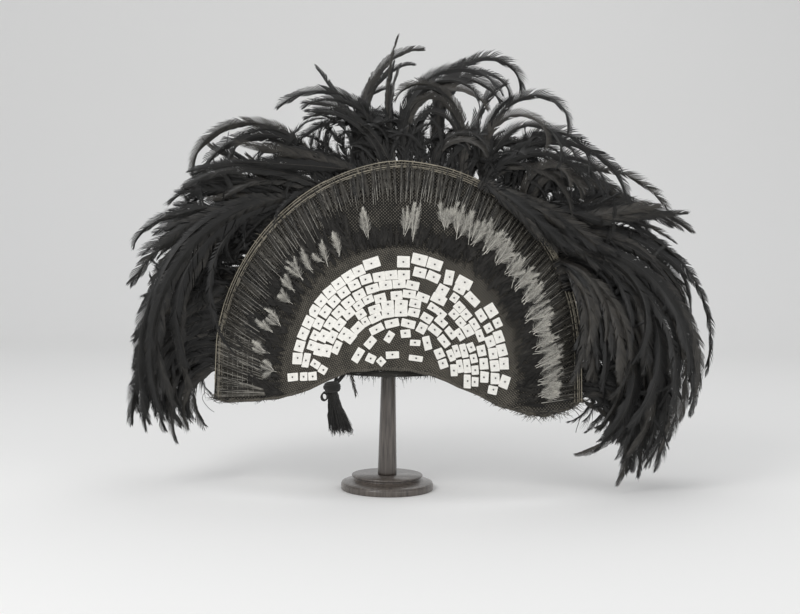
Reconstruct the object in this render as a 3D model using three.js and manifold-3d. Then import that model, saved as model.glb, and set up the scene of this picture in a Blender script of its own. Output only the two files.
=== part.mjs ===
// Feathered headdress on a turned wooden stand.
//
// Millimetres, +Z up. The origin is the centre of the stand foot's underside. The fan of the
// headdress faces -Y, and +X runs to the right of someone who stands in front of it.
// A woven cap sits on the stand's post. A dished panel of knotted fibre stands in front of the cap,
// covered with shell plaques, short feathers, down and bound quills, and long plumes are tied
// behind its rim.

import * as THREE from 'three';
import { mergeVertices } from 'three/addons/utils/BufferGeometryUtils.js';
import Module from 'manifold-3d';

const wasm = await Module();
wasm.setup();

// ---------------------------------------------------------------- driving dimensions

// The fan is a stilted arch: a half circle on two short straight sides, leaning back and
// swept back towards its sides.
const FAN = {
  centreX: 14,
  springZ: 205,
  radius: 255,
  flatLeft: 0.035,
  flatRight: 0.005,
  firstAt: -17,
  lastAt: 197,
  frontY: -88,
  frontZ: 180,
  sweepRadius: 450,
  leanDeg: 12,
  thick: 3,
};

// Lower edge of the fan, from its left corner to its right corner, as rows of [x, z].
const EDGE = [
  [-242, 128], [-222, 125], [-184, 129], [-148, 134], [-106, 148], [-79, 163],
  [-53, 173], [-10, 177.5], [31, 176], [62, 170], [94, 155], [125, 143],
  [150, 129], [187, 118], [213, 113], [250, 121], [269, 131],
];

// The plaques lie in arcs round a hub near the middle of the lower edge.
const HUB = { x: 15, z: 169.5, stretch: 1.09, turn: 0.8, border: 156 };

const GAP = 0.3;
const SKIN = { clear: 0.5, thick: 2.2 };
const DOWN_RAISE = 3.3;
const PLAQUE = { clear: 0.5, thick: 1.8, hole: 0.8, endGap: 1.4, sideGap: 2.4, brokenAt: 4, notch: 5 };
const THREAD = { width: 2, thick: 0.8, longGap: 4, inset: 0.8 };

const CAP = {
  centreY: 2,
  halfX: 74,
  halfY: 81.5,
  rimZ: 181.3,
  height: 96,
  wall: 2.5,
  roundness: 2.2,
  flatTop: 15,
  bandTopZ: 180,
  bandLowZ: 167,
  bandWall: 4,
  bandHalfX: 77,
  bandHalfY: 86.4,
  frays: [
    0, 2.5, -1, 3.5, 1, -0.5, 3, 0.5, -2, 1.5, 4, 0, 2, -1.5, 3, 1, 2.5, -0.5, 0.5, 3.5, 1, -1, 2, 0,
  ],
};

// Profiles of the stand's foot and post, as rows of [radius, z].
const FOOT = [
  [0, 0], [64.5, 0], [65, 1], [65, 7.8], [63.8, 8.6], [64.2, 9.6], [60, 11.2], [53, 13],
  [48.5, 15], [47.5, 16.8], [50, 18.6], [50, 20.5], [0, 20.5],
];

const POST = [[13.5, 20.5], [12.5, 60], [10.4, 150], [9.4, 272]];

const COLOURS = {
  plume: '#1b1b19',
  shortFeather: '#3d3a36',
  down: '#c9c2b4',
  quill: '#57524a',
  fibre: '#77705f',
  cane: '#a3977d',
  cap: '#453f37',
  shell: '#ece8de',
  tassel: '#2a2621',
  wood: '#6b5442',
};

// ---------------------------------------------------------------- building blocks

const rad = THREE.MathUtils.degToRad;
const lerp = THREE.MathUtils.lerp;

// A closed geometry with shared corners, no flat triangles and its faces pointing out.
function closed(geometry) {
  const bare = geometry.clone();
  bare.deleteAttribute('normal');
  bare.deleteAttribute('uv');
  const merged = mergeVertices(bare, 1e-4);
  const position = merged.attributes.position;
  const faces = [];
  let volume = 0;
  for (let i = 0; i < merged.index.count; i += 3) {
    const face = [0, 1, 2].map((corner) => merged.index.getX(i + corner));
    if (new Set(face).size === 3) {
      const [a, b, c] = face.map((v) => new THREE.Vector3().fromBufferAttribute(position, v));
      volume += a.dot(b.cross(c));
      faces.push(face);
    }
  }
  const turned = volume < 0 ? faces.map(([a, b, c]) => [b, a, c]) : faces;
  merged.setIndex(turned.flat());
  return merged;
}

// A box of u by v by w cells whose corners are moved to place(u, v, w), each from 0 to 1.
function shapedBox(cells, place) {
  const box = new THREE.BoxGeometry(1, 1, 1, ...cells);
  const position = box.attributes.position;
  for (let i = 0; i < position.count; i += 1) {
    const u = position.getX(i) + 0.5;
    const v = position.getY(i) + 0.5;
    const w = position.getZ(i) + 0.5;
    position.setXYZ(i, ...place(u, v, w).toArray());
  }
  return closed(box);
}

function toSolid(geometry) {
  const shape = closed(geometry);
  return new wasm.Manifold(new wasm.Mesh({
    numProp: 3,
    vertProperties: new Float32Array(shape.attributes.position.array),
    triVerts: new Uint32Array(shape.index.array),
  }));
}

// One geometry from several that overlap.
function fuse(geometries) {
  let whole = toSolid(geometries[0]);
  for (const geometry of geometries.slice(1)) {
    whole = whole.add(toSolid(geometry));
  }
  const mesh = whole.getMesh();
  const fused = new THREE.BufferGeometry();
  fused.setAttribute('position', new THREE.BufferAttribute(mesh.vertProperties, 3));
  fused.setIndex(new THREE.BufferAttribute(mesh.triVerts, 1));
  return fused;
}

function material(colour, roughness, metalness = 0) {
  return new THREE.MeshStandardMaterial({ color: colour, roughness, metalness });
}

const headdress = new THREE.Group();

function addPiece(name, geometry, look) {
  const piece = new THREE.Mesh(geometry, look);
  piece.name = name;
  headdress.add(piece);
  return piece;
}

// ---------------------------------------------------------------- the fan's surface

const LEAN = Math.tan(rad(FAN.leanDeg));

// Y of the fan's front surface.
function faceY(x, z) {
  return FAN.frontY + (x - FAN.centreX) ** 2 / (2 * FAN.sweepRadius) + (z - FAN.frontZ) * LEAN;
}

// Point on the fan, raised towards the viewer by `raise`.
function onFace(x, z, raise = 0) {
  return new THREE.Vector3(x, faceY(x, z) - raise, z);
}

// Unit direction out of the fan's front surface.
function faceNormal(x) {
  return new THREE.Vector3((x - FAN.centreX) / FAN.sweepRadius, -1, LEAN).normalize();
}

// Rim of the fan. `at` runs from 0 on the right over 90 at the top to 180 on the left, and goes
// on past both down the straight sides. `out` moves the point outwards, `raise` towards the viewer.
function rimPoint(at, out = 0, raise = 0) {
  const beyond = at > 180 ? at - 180 : Math.min(at, 0);
  const angle = rad(THREE.MathUtils.clamp(at, 0, 180));
  const flat = at > 90 ? FAN.flatLeft : FAN.flatRight;
  const radius = FAN.radius * (1 - flat * Math.abs(Math.sin(2 * angle))) + out;
  const x = FAN.centreX + radius * Math.cos(angle);
  const z = FAN.springZ + radius * Math.sin(angle) - FAN.radius * rad(Math.abs(beyond));
  return onFace(x, z, raise);
}

// Height of the fan's lower edge.
function edgeZ(x) {
  const passed = EDGE.filter((row) => row[0] < x).length;
  const next = THREE.MathUtils.clamp(passed, 1, EDGE.length - 1);
  const [x0, z0] = EDGE[next - 1];
  const [x1, z1] = EDGE[next];
  return lerp(z0, z1, THREE.MathUtils.clamp((x - x0) / (x1 - x0), 0, 1));
}

// Outer border of the plaques, matched to the rim by the same `at`.
function borderPoint(at) {
  const x = HUB.x + HUB.border * Math.cos(rad(at));
  const z = HUB.z + HUB.stretch * HUB.border * Math.sin(rad(at));
  return new THREE.Vector2(x, Math.max(z, edgeZ(x) + 3));
}

// Point of the band between the plaques (share 0) and the rim (share 1).
function bandPoint(at, share, raise) {
  const inner = borderPoint(at);
  const rim = rimPoint(at);
  const x = lerp(inner.x, rim.x, share);
  const z = lerp(inner.y, rim.z, share);
  return onFace(x, Math.max(z, edgeZ(x) + 1), raise);
}

// ---------------------------------------------------------------- stand

// Turned shape from rows of [radius, z], standing on the Z axis.
function addTurned(name, rows, segments, look) {
  const profile = rows.map(([radius, z]) => new THREE.Vector2(radius, z));
  const piece = addPiece(name, closed(new THREE.LatheGeometry(profile, segments)), look);
  piece.rotation.x = Math.PI / 2;
  return piece;
}

function makeStand() {
  const look = material(COLOURS.wood, 0.35);
  addTurned('stand_foot', FOOT, 20, look);
  const [bottom, top] = [POST[0][1], POST.at(-1)[1]];
  const post = addTurned('stand_post', [[0, bottom], ...POST, [0, top]], 16, look.clone());
  post.position.z = GAP;
}

// ---------------------------------------------------------------- cap

function makeCap() {
  const look = material(COLOURS.cap, 0.95);
  const dome = (radius, height) => [0, 0.3, 0.55, 0.78, 0.93].map((level) => {
    const share = (1 - level ** CAP.roundness) ** (1 / CAP.roundness);
    return [radius * share, CAP.rimZ + height * level];
  });
  const outside = [...dome(CAP.halfX, CAP.height), [CAP.flatTop, CAP.rimZ + CAP.height]];
  const hollow = CAP.height - CAP.wall;
  const inside = [...dome(CAP.halfX - CAP.wall, hollow), [CAP.flatTop, CAP.rimZ + hollow]];
  const shell = [[0, CAP.rimZ + hollow], ...inside.reverse(), ...outside, [0, CAP.rimZ + CAP.height]];
  const crown = addTurned('cap_crown', shell, 20, look);
  crown.scale.z = CAP.halfY / CAP.halfX;
  crown.position.y = CAP.centreY;

  const low = CAP.bandLowZ;
  const inner = CAP.bandHalfX - CAP.bandWall;
  const section = [
    [CAP.bandHalfX, low], [CAP.bandHalfX, CAP.bandTopZ], [inner, CAP.bandTopZ], [inner, low],
    [CAP.bandHalfX, low],
  ];
  const band = addTurned('cap_band', section, CAP.frays.length, look.clone());
  const position = band.geometry.attributes.position;
  for (let i = 0; i < position.count; i += 1) {
    if (position.getY(i) < low + 1) {
      const turn = Math.atan2(position.getX(i), position.getZ(i)) / (2 * Math.PI);
      const fray = Math.round((turn + 1) * CAP.frays.length) % CAP.frays.length;
      position.setY(i, low - CAP.frays[fray]);
    }
  }
  band.scale.z = CAP.bandHalfY / CAP.bandHalfX;
  band.position.y = CAP.centreY;
}

// ---------------------------------------------------------------- fan

// Height of the rim over a place of the lower edge.
function rimZ(x) {
  let [right, left] = [0, 180];
  for (let i = 0; i < 24; i += 1) {
    const middle = (right + left) / 2;
    [right, left] = rimPoint(middle).x > x ? [middle, left] : [right, middle];
  }
  return rimPoint(right).z;
}

// Columns of the panel lie closer together towards its sides, where the rim stands upright.
function makePanel() {
  const left = rimPoint(180).x;
  const right = rimPoint(0).x;
  const panel = shapedBox([22, 4, 1], (u, v, w) => {
    const x = lerp(right, left, (1 - Math.cos(Math.PI * u)) / 2);
    const z = lerp(edgeZ(x), rimZ(x), v);
    return onFace(x, z, -FAN.thick * w);
  });
  addPiece('fan_panel', panel, material(COLOURS.fibre, 0.95));
}

// A ridged skin over part of the band, with `ridges` ridges from FAN.firstAt to FAN.lastAt.
function makeRidgedBand(name, ridges, cells, from, valleyTo, ridgeTo, look) {
  const columns = 2 * ridges;
  const skin = shapedBox([columns, cells, 1], (u, v, w) => {
    const ridge = Math.round(u * columns) % 2;
    const at = lerp(FAN.firstAt, FAN.lastAt, u);
    const share = lerp(from, ridge ? ridgeTo : valleyTo, v);
    const height = SKIN.thick * (ridge ? 1 : 0.45);
    return bandPoint(at, share, SKIN.clear + w * height);
  });
  addPiece(name, skin, look);
}

// Down tufts, as rows of [at, root, tip, spread]: its place round the rim, the shares of the
// band where it starts and ends, and its width in degrees.
const DOWN = {
  down_left: [
    [181, 0.1, 0.34, 2.4], [175, 0.24, 0.5, 2.4], [166, 0.2, 0.46, 2.6], [162, 0.16, 0.4, 2.6],
    [151, 0.12, 0.4, 3.2], [146, 0.2, 0.44, 3.6], [140, 0.16, 0.46, 3.8], [134, 0.12, 0.44, 3.4],
    [127, 0.1, 0.38, 3], [120, 0.12, 0.4, 3],
  ],
  down_top: [[105, 0.12, 0.5, 3.4], [88.5, 0.1, 0.52, 2.6], [84.5, 0.1, 0.5, 2.6]],
  down_right: [
    [71, 0.3, 0.56, 4], [65, 0.28, 0.6, 4.6], [58.5, 0.3, 0.58, 4.6], [52, 0.28, 0.62, 4.6],
    [45.5, 0.3, 0.6, 4.8], [39, 0.28, 0.58, 4.8], [32.5, 0.3, 0.62, 4.8], [26, 0.3, 0.6, 4.8],
    [19.5, 0.28, 0.62, 4.8], [13, 0.3, 0.6, 4.8], [6.5, 0.3, 0.64, 4.8], [0, 0.32, 0.66, 4.8],
    [-6.5, 0.34, 0.68, 4.8], [-12, 0.36, 0.66, 3.6],
  ],
};

// Each tuft swells from its root and runs out to a point, and a low strip joins the roots.
function makeDown() {
  for (const [name, tufts] of Object.entries(DOWN)) {
    const stations = tufts.flatMap(([at, root, tip, spread]) => [
      { at: at + spread / 2, root, tip: root + 0.06, height: 1 },
      { at, root, tip, height: 4 },
      { at: at - spread / 2, root, tip: root + 0.06, height: 1 },
    ]);
    const steps = stations.length - 1;
    const strip = shapedBox([steps, 2, 1], (u, v, w) => {
      const { at, root, tip, height } = stations[Math.round(u * steps)];
      const fullness = [0.5, 1, 0.3][Math.round(2 * v)];
      return bandPoint(at, lerp(root, tip, v), DOWN_RAISE + w * height * fullness);
    });
    addPiece(name, strip, material(COLOURS.down, 1));
  }
}

// Split canes lashed along the rim in front of the panel, as rows of [name, outside, inside,
// thick], where the two edges of each strip are distances inside the rim.
const HOOPS = [
  ['cane_hoop_outer', 0.5, 4.5, 3.2],
  ['cane_hoop_inner', 6, 9.5, 2.6],
];

function makeHoops() {
  for (const [name, outside, inside, thick] of HOOPS) {
    const hoop = shapedBox([27, 1, 1], (u, v, w) => rimPoint(
      lerp(FAN.firstAt, FAN.lastAt, u),
      -lerp(outside, inside, v),
      SKIN.clear + thick * w,
    ));
    addPiece(name, hoop, material(COLOURS.cane, 0.7));
  }
}

// ---------------------------------------------------------------- plumes

// Each plume is a tapered ribbon, a row of [at, aim, turn, late, length, width, lean, sway].
// Its quill is tied at `at` on the rim. `aim` is its heading there (0 to the right, 90 up, 180
// to the left) and `turn` how far it bends by its tip, later along its length as `late` grows
// past 1. `lean` tilts it backwards and `sway` changes that tilt by the tip.
const PLUMES = {
  plume_left: {
    span: [120, 188],
    depth: 7,
    rows: [
      [186, 198, 98, 1.1, 145, 13, -6, 10],
      [183, 188, 115, 1.3, 160, 15, 8, -20],
      [181, 178, 112, 1.1, 182, 14, -12, 8],
      [178, 182, 95, 1.0, 170, 15, -14, 4],
      [175, 175, 115, 1.1, 190, 18, 16, 22],
      [172, 180, 100, 0.9, 218, 17, -14, -12],
      [168, 180, 102, 1.0, 214, 18, -8, -10],
      [163, 183, 97, 0.9, 238, 18, -12, 10],
      [158, 180, 100, 0.9, 262, 18, 20, 8],
      [148, 158, 122, 1.2, 234, 12, 14, 10],
      [145, 185, 90, 0.9, 290, 18, 14, 10],
      [140, 165, 60, 1.2, 190, 18, 8, -6],
      [138, 172, 88, 3.6, 220, 15, 6, 4],
      [135, 165, 45, 1.0, 172, 17, -8, 4],
      [130, 145, 85, 1.5, 185, 18, 10, -14],
      [128, 160, 30, 1.0, 160, 18, -6, 10],
      [126, 177, 115, 0.9, 430, 19, -14, 12],
      [122, 158, -20, 3.0, 168, 9, 4, 8],
    ],
  },
  plume_crest_left: {
    span: [91, 119],
    depth: 7,
    rows: [
      [118, 150, 60, 1.0, 190, 16, -12, 10],
      [115, 118, 155, 1.5, 262, 17, 8, -18],
      [110, 150, 40, 1.0, 150, 15, 26, 12],
      [105, 165, 5, 1.0, 165, 17, -10, 8],
      [92, 102, -33, 1.5, 180, 9, 2, 6],
      [102, 95, -95, 2.0, 235, 14, 16, 10],
      [100, 108, 22, 1.0, 175, 8, 14, 8],
      [96, 105, 85, 1.2, 150, 12, -14, 10],
      [93, 98, 128, 1.2, 218, 15, 8, -20],
    ],
  },
  plume_crest: {
    span: [66, 90],
    depth: 7,
    rows: [
      [90, 97, -168, 1.45, 248, 16, -4, -16],
      [84, 100, 110, 1.3, 130, 10, 14, -20],
      [80, 85, -160, 1.2, 115, 9, -10, -10],
      [77, 98, -205, 2.0, 300, 17, 12, 16],
      [70, 86, 168, 2.0, 206, 11, -10, -12],
      [68, 95, -190, 1.0, 163, 10, 14, -14],
    ],
  },
  plume_crest_right: {
    span: [36, 65],
    depth: 7,
    rows: [
      [62, 66, -145, 1.0, 260, 15, -10, 12],
      [60, 104, -235, 1.7, 262, 15, -6, -20],
      [52, 108, -215, 1.3, 225, 17, 4, -26],
      [48, 60, -125, 1.0, 275, 17, 14, -10],
      [45, 100, -195, 1.3, 195, 17, -8, -8],
      [42, 60, -105, 0.9, 222, 18, 22, 14],
      [40, 12, -10, 1.0, 205, 17, -12, 6],
      [38, 50, -92, 0.9, 235, 17, 4, -10],
    ],
  },
  plume_right: {
    span: [-14, 35],
    depth: 7,
    rows: [
      [35, 38, -142, 0.85, 392, 13, 4, 4],
      [33, 32, -138, 0.75, 368, 15, -6, 10],
      [30, 15, -128, 0.85, 345, 17, -6, -14],
      [26, 5, -120, 0.9, 350, 18, 8, 18],
      [24, -3, -118, 1.0, 368, 18, 14, 8],
      [18, -8, -118, 1.0, 318, 19, -12, 8],
      [8, -3, -115, 0.9, 275, 18, -4, -12],
      [2, -5, -105, 0.9, 243, 17, 18, 14],
      [-8, -8, -100, 0.9, 190, 15, -6, 10],
      [-12, -4, -88, 1.4, 150, 13, 8, -10],
    ],
  },
  plume_front_upper: {
    span: [48, 66],
    depth: -8,
    rows: [
      [62, -30, -15, 1.0, 150, 20, -12, 4],
      [56, -25, -25, 1.0, 165, 20, -8, 2],
      [50, -20, -10, 1.0, 150, 18, -4, 6],
    ],
  },
  plume_front_low: {
    span: [18, 30],
    depth: -8,
    rows: [
      [26, -5, -95, 0.6, 195, 16, -20, 6],
      [23, -10, -95, 0.5, 180, 16, -24, 8],
      [20, -40, -60, 0.6, 145, 15, -28, 20],
    ],
  },
};

const PLUME = { stepLength: 54, flatness: 0.3, backingWidth: 7, backingDepth: 5 };

// Centres of a plume's sections, from its quill to its tip.
function plumePath(row, depth) {
  const [at, aim, turn, late, length, , lean, sway] = row;
  const path = [rimPoint(at, -1, -depth)];
  const steps = Math.max(4, Math.round(length / PLUME.stepLength));
  for (let i = 0; i < steps; i += 1) {
    const share = (i + 0.5) / steps;
    const heading = rad(aim + turn * share ** late);
    const tilt = rad(lean + sway * share);
    const step = new THREE.Vector3(
      Math.cos(heading) * Math.cos(tilt),
      Math.sin(tilt),
      Math.sin(heading) * Math.cos(tilt),
    );
    path.push(path[i].clone().addScaledVector(step, length / steps));
  }
  return path;
}

// Share of a plume's full width along its length: narrow at the quill, full in the middle and
// drawn out to the tip.
function plumeWidth(share) {
  return (0.3 + 0.7 * Math.sin(Math.PI * share ** 0.75)) * (1 - 0.75 * share ** 4);
}

function plumeLock(row, depth) {
  const path = plumePath(row, depth);
  const steps = path.length - 1;
  const width = row[5];
  const corners = [[-1, 0], [0, -1], [0, 1], [1, 0]];
  return shapedBox([steps, 1, 1], (u, v, w) => {
    const i = Math.round(u * steps);
    const ahead = path[Math.min(i + 1, steps)];
    const behind = path[Math.max(i - 1, 0)];
    const along = ahead.clone().sub(behind).normalize();
    const side = new THREE.Vector3().crossVectors(along, new THREE.Vector3(0, 1, 0)).normalize();
    const face = new THREE.Vector3().crossVectors(side, along);
    const half = (width * plumeWidth(u)) / 2;
    const [sideways, facing] = corners[2 * v + w];
    return path[i].clone()
      .addScaledVector(side, sideways * half)
      .addScaledVector(face, facing * half * PLUME.flatness);
  });
}

function makePlumes() {
  for (const [name, { span, depth, rows }] of Object.entries(PLUMES)) {
    const [from, to] = span;
    const backing = shapedBox([Math.ceil((to - from) / 9), 1, 1], (u, v, w) => rimPoint(
      lerp(from, to, u),
      (v - 0.5) * PLUME.backingWidth - 1,
      -depth + (w - 0.5) * PLUME.backingDepth,
    ));
    const locks = rows.map((row) => plumeLock(row, depth));
    addPiece(name, fuse([backing, ...locks]), material(COLOURS.plume, 0.45));
  }
}

// ---------------------------------------------------------------- plaques

// Arcs of plaques round the hub, outermost ring first, as rows of [radius, from, to, count,
// along, across, tilt]: `count` plaques from one angle to another, `along` the ring by `across`
// it, each turned a further `tilt` degrees. Each row of plaques is strung on one thread, apart
// from plaque_edge, whose plaques are single pieces.
const RINGS = {
  plaque_edge: [
    [138.5, 172, 113, 10, 16, 14.5, 0],
  ],
  plaque_row_edge: [
    [142, 105, 105, 1, 23, 15.5, 0], [139, 87.5, 87.5, 1, 17.5, 16, 0],
    [144, 79, 70.5, 2, 21, 15.5, 0], [137, 60.5, 60.5, 1, 13, 21, 15],
    [143, 52, 52, 1, 22, 15, 5], [135, 43, 43, 1, 22, 12.5, 0],
    [147, 32, 32, 1, 18, 16, 0], [147, 25, 25, 1, 13, 12, 0],
    [142, 18.5, 5, 3, 16.5, 14.5, 0], [142.5, -4, -4, 1, 18, 14, -15],
  ],
  plaque_row_second_left: [
    [126, 172, 172, 1, 20, 10.5, 0], [123, 163, 157, 2, 13.5, 12, 0],
    [125.5, 150, 110.8, 6, 16, 13.5, 0],
  ],
  plaque_row_second_top: [
    [123, 102.5, 87, 3, 17, 13.5, 0], [128.5, 77.5, 69, 2, 18, 14, 0],
    [119, 60.5, 60.5, 1, 16, 15, 0], [132, 52, 52, 1, 16.5, 10, 8],
  ],
  plaque_row_second_right: [
    [132, 33, 33, 1, 17, 12.5, 0], [133, 25, 25, 1, 12, 12, 0], [129, 18, -2.5, 4, 15.5, 13.5, 0],
    [127, -8.8, -8.8, 1, 12, 13.5, 0],
  ],
  plaque_row_third_left: [
    [112, 164, 118.5, 6, 17, 13.5, 0], [111.5, 108.7, 80.5, 4, 18.3, 12.5, 0],
  ],
  plaque_row_third_right: [
    [107, 60, 60, 1, 21, 13, 0], [120, 51.5, 51.5, 1, 11, 12, 0],
    [116, 45.5, 39, 2, 14, 13, 0], [118.5, 31, 23.5, 2, 16.5, 11, 0],
    [114.5, 14.5, -1.7, 3, 15.5, 12.5, 0],
  ],
  plaque_row_fourth_left: [
    [101, 163, 132, 4, 17, 12.5, 0], [101, 122.5, 114, 2, 14.5, 11.5, 0],
    [97.5, 105, 92, 2, 16.5, 12.5, 0], [100, 82, 71.5, 2, 18, 11.5, 0],
  ],
  plaque_row_fourth_right: [
    [104.5, 45, 37.5, 2, 13, 12, 0], [107, 30, 30, 1, 16, 13.5, 0],
    [102, 19, -5, 4, 13, 10.5, 0],
  ],
  plaque_row_fifth: [
    [90, 158, 146, 2, 18.5, 10.5, 0], [90.5, 124.5, 124.5, 1, 14, 12, 0],
    [87, 112, 88, 3, 17.5, 12, 0], [90, 76, 76, 1, 16, 11, 0],
    [94, 61, 53, 2, 14, 10.5, 0], [95, 31, 31, 1, 17, 10, 0],
    [91.5, 18.5, -5, 3, 19, 10, 0],
  ],
  plaque_row_sixth: [
    [80, 145, 134, 2, 16, 13.5, 0], [79, 124.5, 124.5, 1, 10, 12.5, 0],
    [77, 114, 88, 3, 17.5, 12.5, 0], [79, 75.5, 62, 2, 16, 12, 0],
    [86, 49, 36.5, 2, 17.5, 10.5, 0], [82, 20.5, 7.5, 2, 18, 9, 0],
  ],
  plaque_row_inner: [
    [64, 118, 79, 3, 19.5, 11.5, 0], [65, 62, 62, 1, 13, 15, 0],
    [73, 49, 34.5, 2, 18, 11.5, 0], [60, 26, 26, 1, 14, 13, 0],
    [73.5, 19, 4.5, 2, 16.5, 9.5, 0],
  ],
};

// Plaques scattered along the lower edge, as rows of [x, z, turn, along, across].
const LOOSE = [
  [-128, 163.5, 8, 15, 11], [-113, 165, 4, 10.5, 11.5], [-101, 166, 8, 12.5, 11.5],
  [-97.5, 182, -28, 13, 10], [-87, 175, -30, 11.5, 11], [-24, 212.5, 50, 17, 11],
  [1, 220.5, 58, 15, 10], [23, 225, 6, 13.5, 11], [36, 213, -3, 14, 8.5],
  [6, 196.5, 3, 18, 9.5], [37, 192.5, -8, 19, 8], [-40, 195.5, 58, 20, 11],
  [-23, 191.5, -25, 12.5, 11.5], [-9, 188, 45, 10.5, 10.5], [52, 213, 105, 19, 10.5],
  [73.5, 185.5, 18, 12, 12.5],
];

// Places and sizes of the plaques of some runs.
function placesOf(runs) {
  const places = [];
  for (const [radius, from, to, count, along, across, tilt] of runs) {
    for (let i = 0; i < count; i += 1) {
      const angle = HUB.turn + (count === 1 ? from : lerp(from, to, i / (count - 1)));
      places.push({
        x: HUB.x + radius * Math.cos(rad(angle)),
        z: HUB.z + HUB.stretch * radius * Math.sin(rad(angle)),
        turn: angle - 90 + tilt,
        along: along - PLAQUE.endGap,
        across: across - PLAQUE.sideGap,
      });
    }
  }
  return places;
}

// Turns and moves a piece so that its Z axis stands on the fan at a place.
function standOnFace(piece, { x, z, turn }) {
  const normal = faceNormal(x);
  const slope = -normal.x / normal.y;
  const lean = -normal.z / normal.y;
  const heading = new THREE.Vector3(
    Math.cos(rad(turn)),
    slope * Math.cos(rad(turn)) + lean * Math.sin(rad(turn)),
    Math.sin(rad(turn)),
  ).normalize();
  const across = new THREE.Vector3().crossVectors(normal, heading);
  const axes = new THREE.Matrix4().makeBasis(heading, across, normal);
  piece.quaternion.setFromRotationMatrix(axes);
  piece.position.copy(onFace(x, z)).addScaledVector(normal, PLAQUE.clear);
  piece.updateMatrix();
  return piece;
}

// A flat plaque with a square hole. A notch takes the corner off a broken one.
function plaqueShape({ along, across }, notch = 0) {
  const [a, b] = [along / 2, across / 2];
  const hole = PLAQUE.hole;
  const broken = notch ? [[a - notch, -b], [a - 0.4 * notch, -b + notch]] : [[a, -b]];
  const outline = [[-a, -b], ...broken, [a, b], [-a, b]];
  const corners = [[hole, 0], [0, hole], [-hole, 0], [0, -hole]];
  const shape = new THREE.Shape(outline.map(([x, y]) => new THREE.Vector2(x, y)));
  shape.holes.push(new THREE.Path(corners.map(([x, y]) => new THREE.Vector2(x, y))));
  return new THREE.ExtrudeGeometry(shape, { depth: PLAQUE.thick, bevelEnabled: false });
}

function makePlaques() {
  const look = material(COLOURS.shell, 0.3);
  const single = [
    ...placesOf(RINGS.plaque_edge),
    ...LOOSE.map(([x, z, turn, along, across]) => ({ x, z, turn, along, across })),
  ];
  single.forEach((place, i) => {
    const piece = addPiece(
      `plaque_${String(i + 1).padStart(2, '0')}`,
      closed(plaqueShape(place, i === PLAQUE.brokenAt ? PLAQUE.notch : 0)),
      look.clone(),
    );
    standOnFace(piece, place);
  });
  for (const [name, runs] of Object.entries(RINGS).filter(([key]) => key !== 'plaque_edge')) {
    addPiece(name, strungPlaques(placesOf(runs)), look.clone());
  }
}

// Stations of the thread between one plaque's end and the next one's start.
function threadBetween(end, start) {
  const gap = Math.hypot(start.x - end.x, start.z - end.z);
  const shares = gap > THREAD.longGap ? [THREAD.inset / gap, 1 - THREAD.inset / gap] : [0.5];
  return shares.map((share) => ({
    x: lerp(end.x, start.x, share),
    z: lerp(end.z, start.z, share),
    turn: (end.turn + start.turn) / 2,
    across: THREAD.width,
    thick: THREAD.thick,
  }));
}

// A row of plaques as one strip that narrows to the thread between each and the next.
function strungPlaques(places) {
  const stations = [];
  for (const place of places) {
    const reachX = (place.along / 2) * Math.cos(rad(place.turn));
    const reachZ = (place.along / 2) * Math.sin(rad(place.turn));
    const start = { ...place, x: place.x - reachX, z: place.z - reachZ, thick: PLAQUE.thick };
    const end = { ...start, x: place.x + reachX, z: place.z + reachZ };
    if (stations.length) {
      stations.push(...threadBetween(stations.at(-1), start));
    }
    stations.push(start, end);
  }
  return shapedBox([stations.length - 1, 1, 1], (u, v, w) => {
    const { x, z, turn, across, thick } = stations[Math.round(u * (stations.length - 1))];
    const side = (v - 0.5) * across;
    const raise = PLAQUE.clear + PLAQUE.thick / 2 + (w - 0.5) * thick;
    return onFace(x - side * Math.sin(rad(turn)), z + side * Math.cos(rad(turn)), raise);
  });
}

// ---------------------------------------------------------------- tassel and loose feather

// A tassel hangs from two tapes behind the lower edge. Its strands spread from its head to
// its foot.
const TASSEL = {
  headX: -75,
  headZ: 152.5,
  y: -80,
  headRadii: [11, 8, 8.5],
  knotRadii: [5, 4, 5.5],
  knotAside: 10,
  knotBelow: 13,
  tapeWidth: 8,
  tapeThick: 1.6,
  strands: 7,
  strandWidth: 5,
  strandThick: 3.2,
  topRadius: 7.5,
  footX: -62,
  footZ: 93,
  footSpread: 17,
};

// Where the two tapes leave the panel, as rows of [x, distance behind the panel].
const TAPES = [[-69, 2.4], [-57, 2.6]];

// The loose feather behind the edge, as rows of [x, z, distance behind the panel's back, width].
const LOOSE_FEATHER = [
  [-49, 178, 1.7, 4], [-48, 166, 1.7, 7], [-45, 154, 1, 5], [-42, 142, 0, 1],
];
const LOOSE_FEATHER_THICK = 1.2;

// A strip with a flat section through some points, `width` across and `thick` deep.
function strip(points, width, thick) {
  const steps = points.length - 1;
  return shapedBox([steps, 1, 1], (u, v, w) => {
    const i = Math.round(u * steps);
    const ahead = points[Math.min(i + 1, steps)];
    const behind = points[Math.max(i - 1, 0)];
    const along = ahead.clone().sub(behind).normalize();
    const side = new THREE.Vector3().crossVectors(along, new THREE.Vector3(0, 1, 0)).normalize();
    return points[i].clone()
      .addScaledVector(side, width * (v - 0.5))
      .add(new THREE.Vector3(0, thick * (w - 0.5), 0));
  });
}

function ball([x, y, z], radii, across, down) {
  const shape = new THREE.SphereGeometry(1, across, down);
  shape.scale(...radii);
  shape.translate(x, y, z);
  return shape;
}

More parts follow.
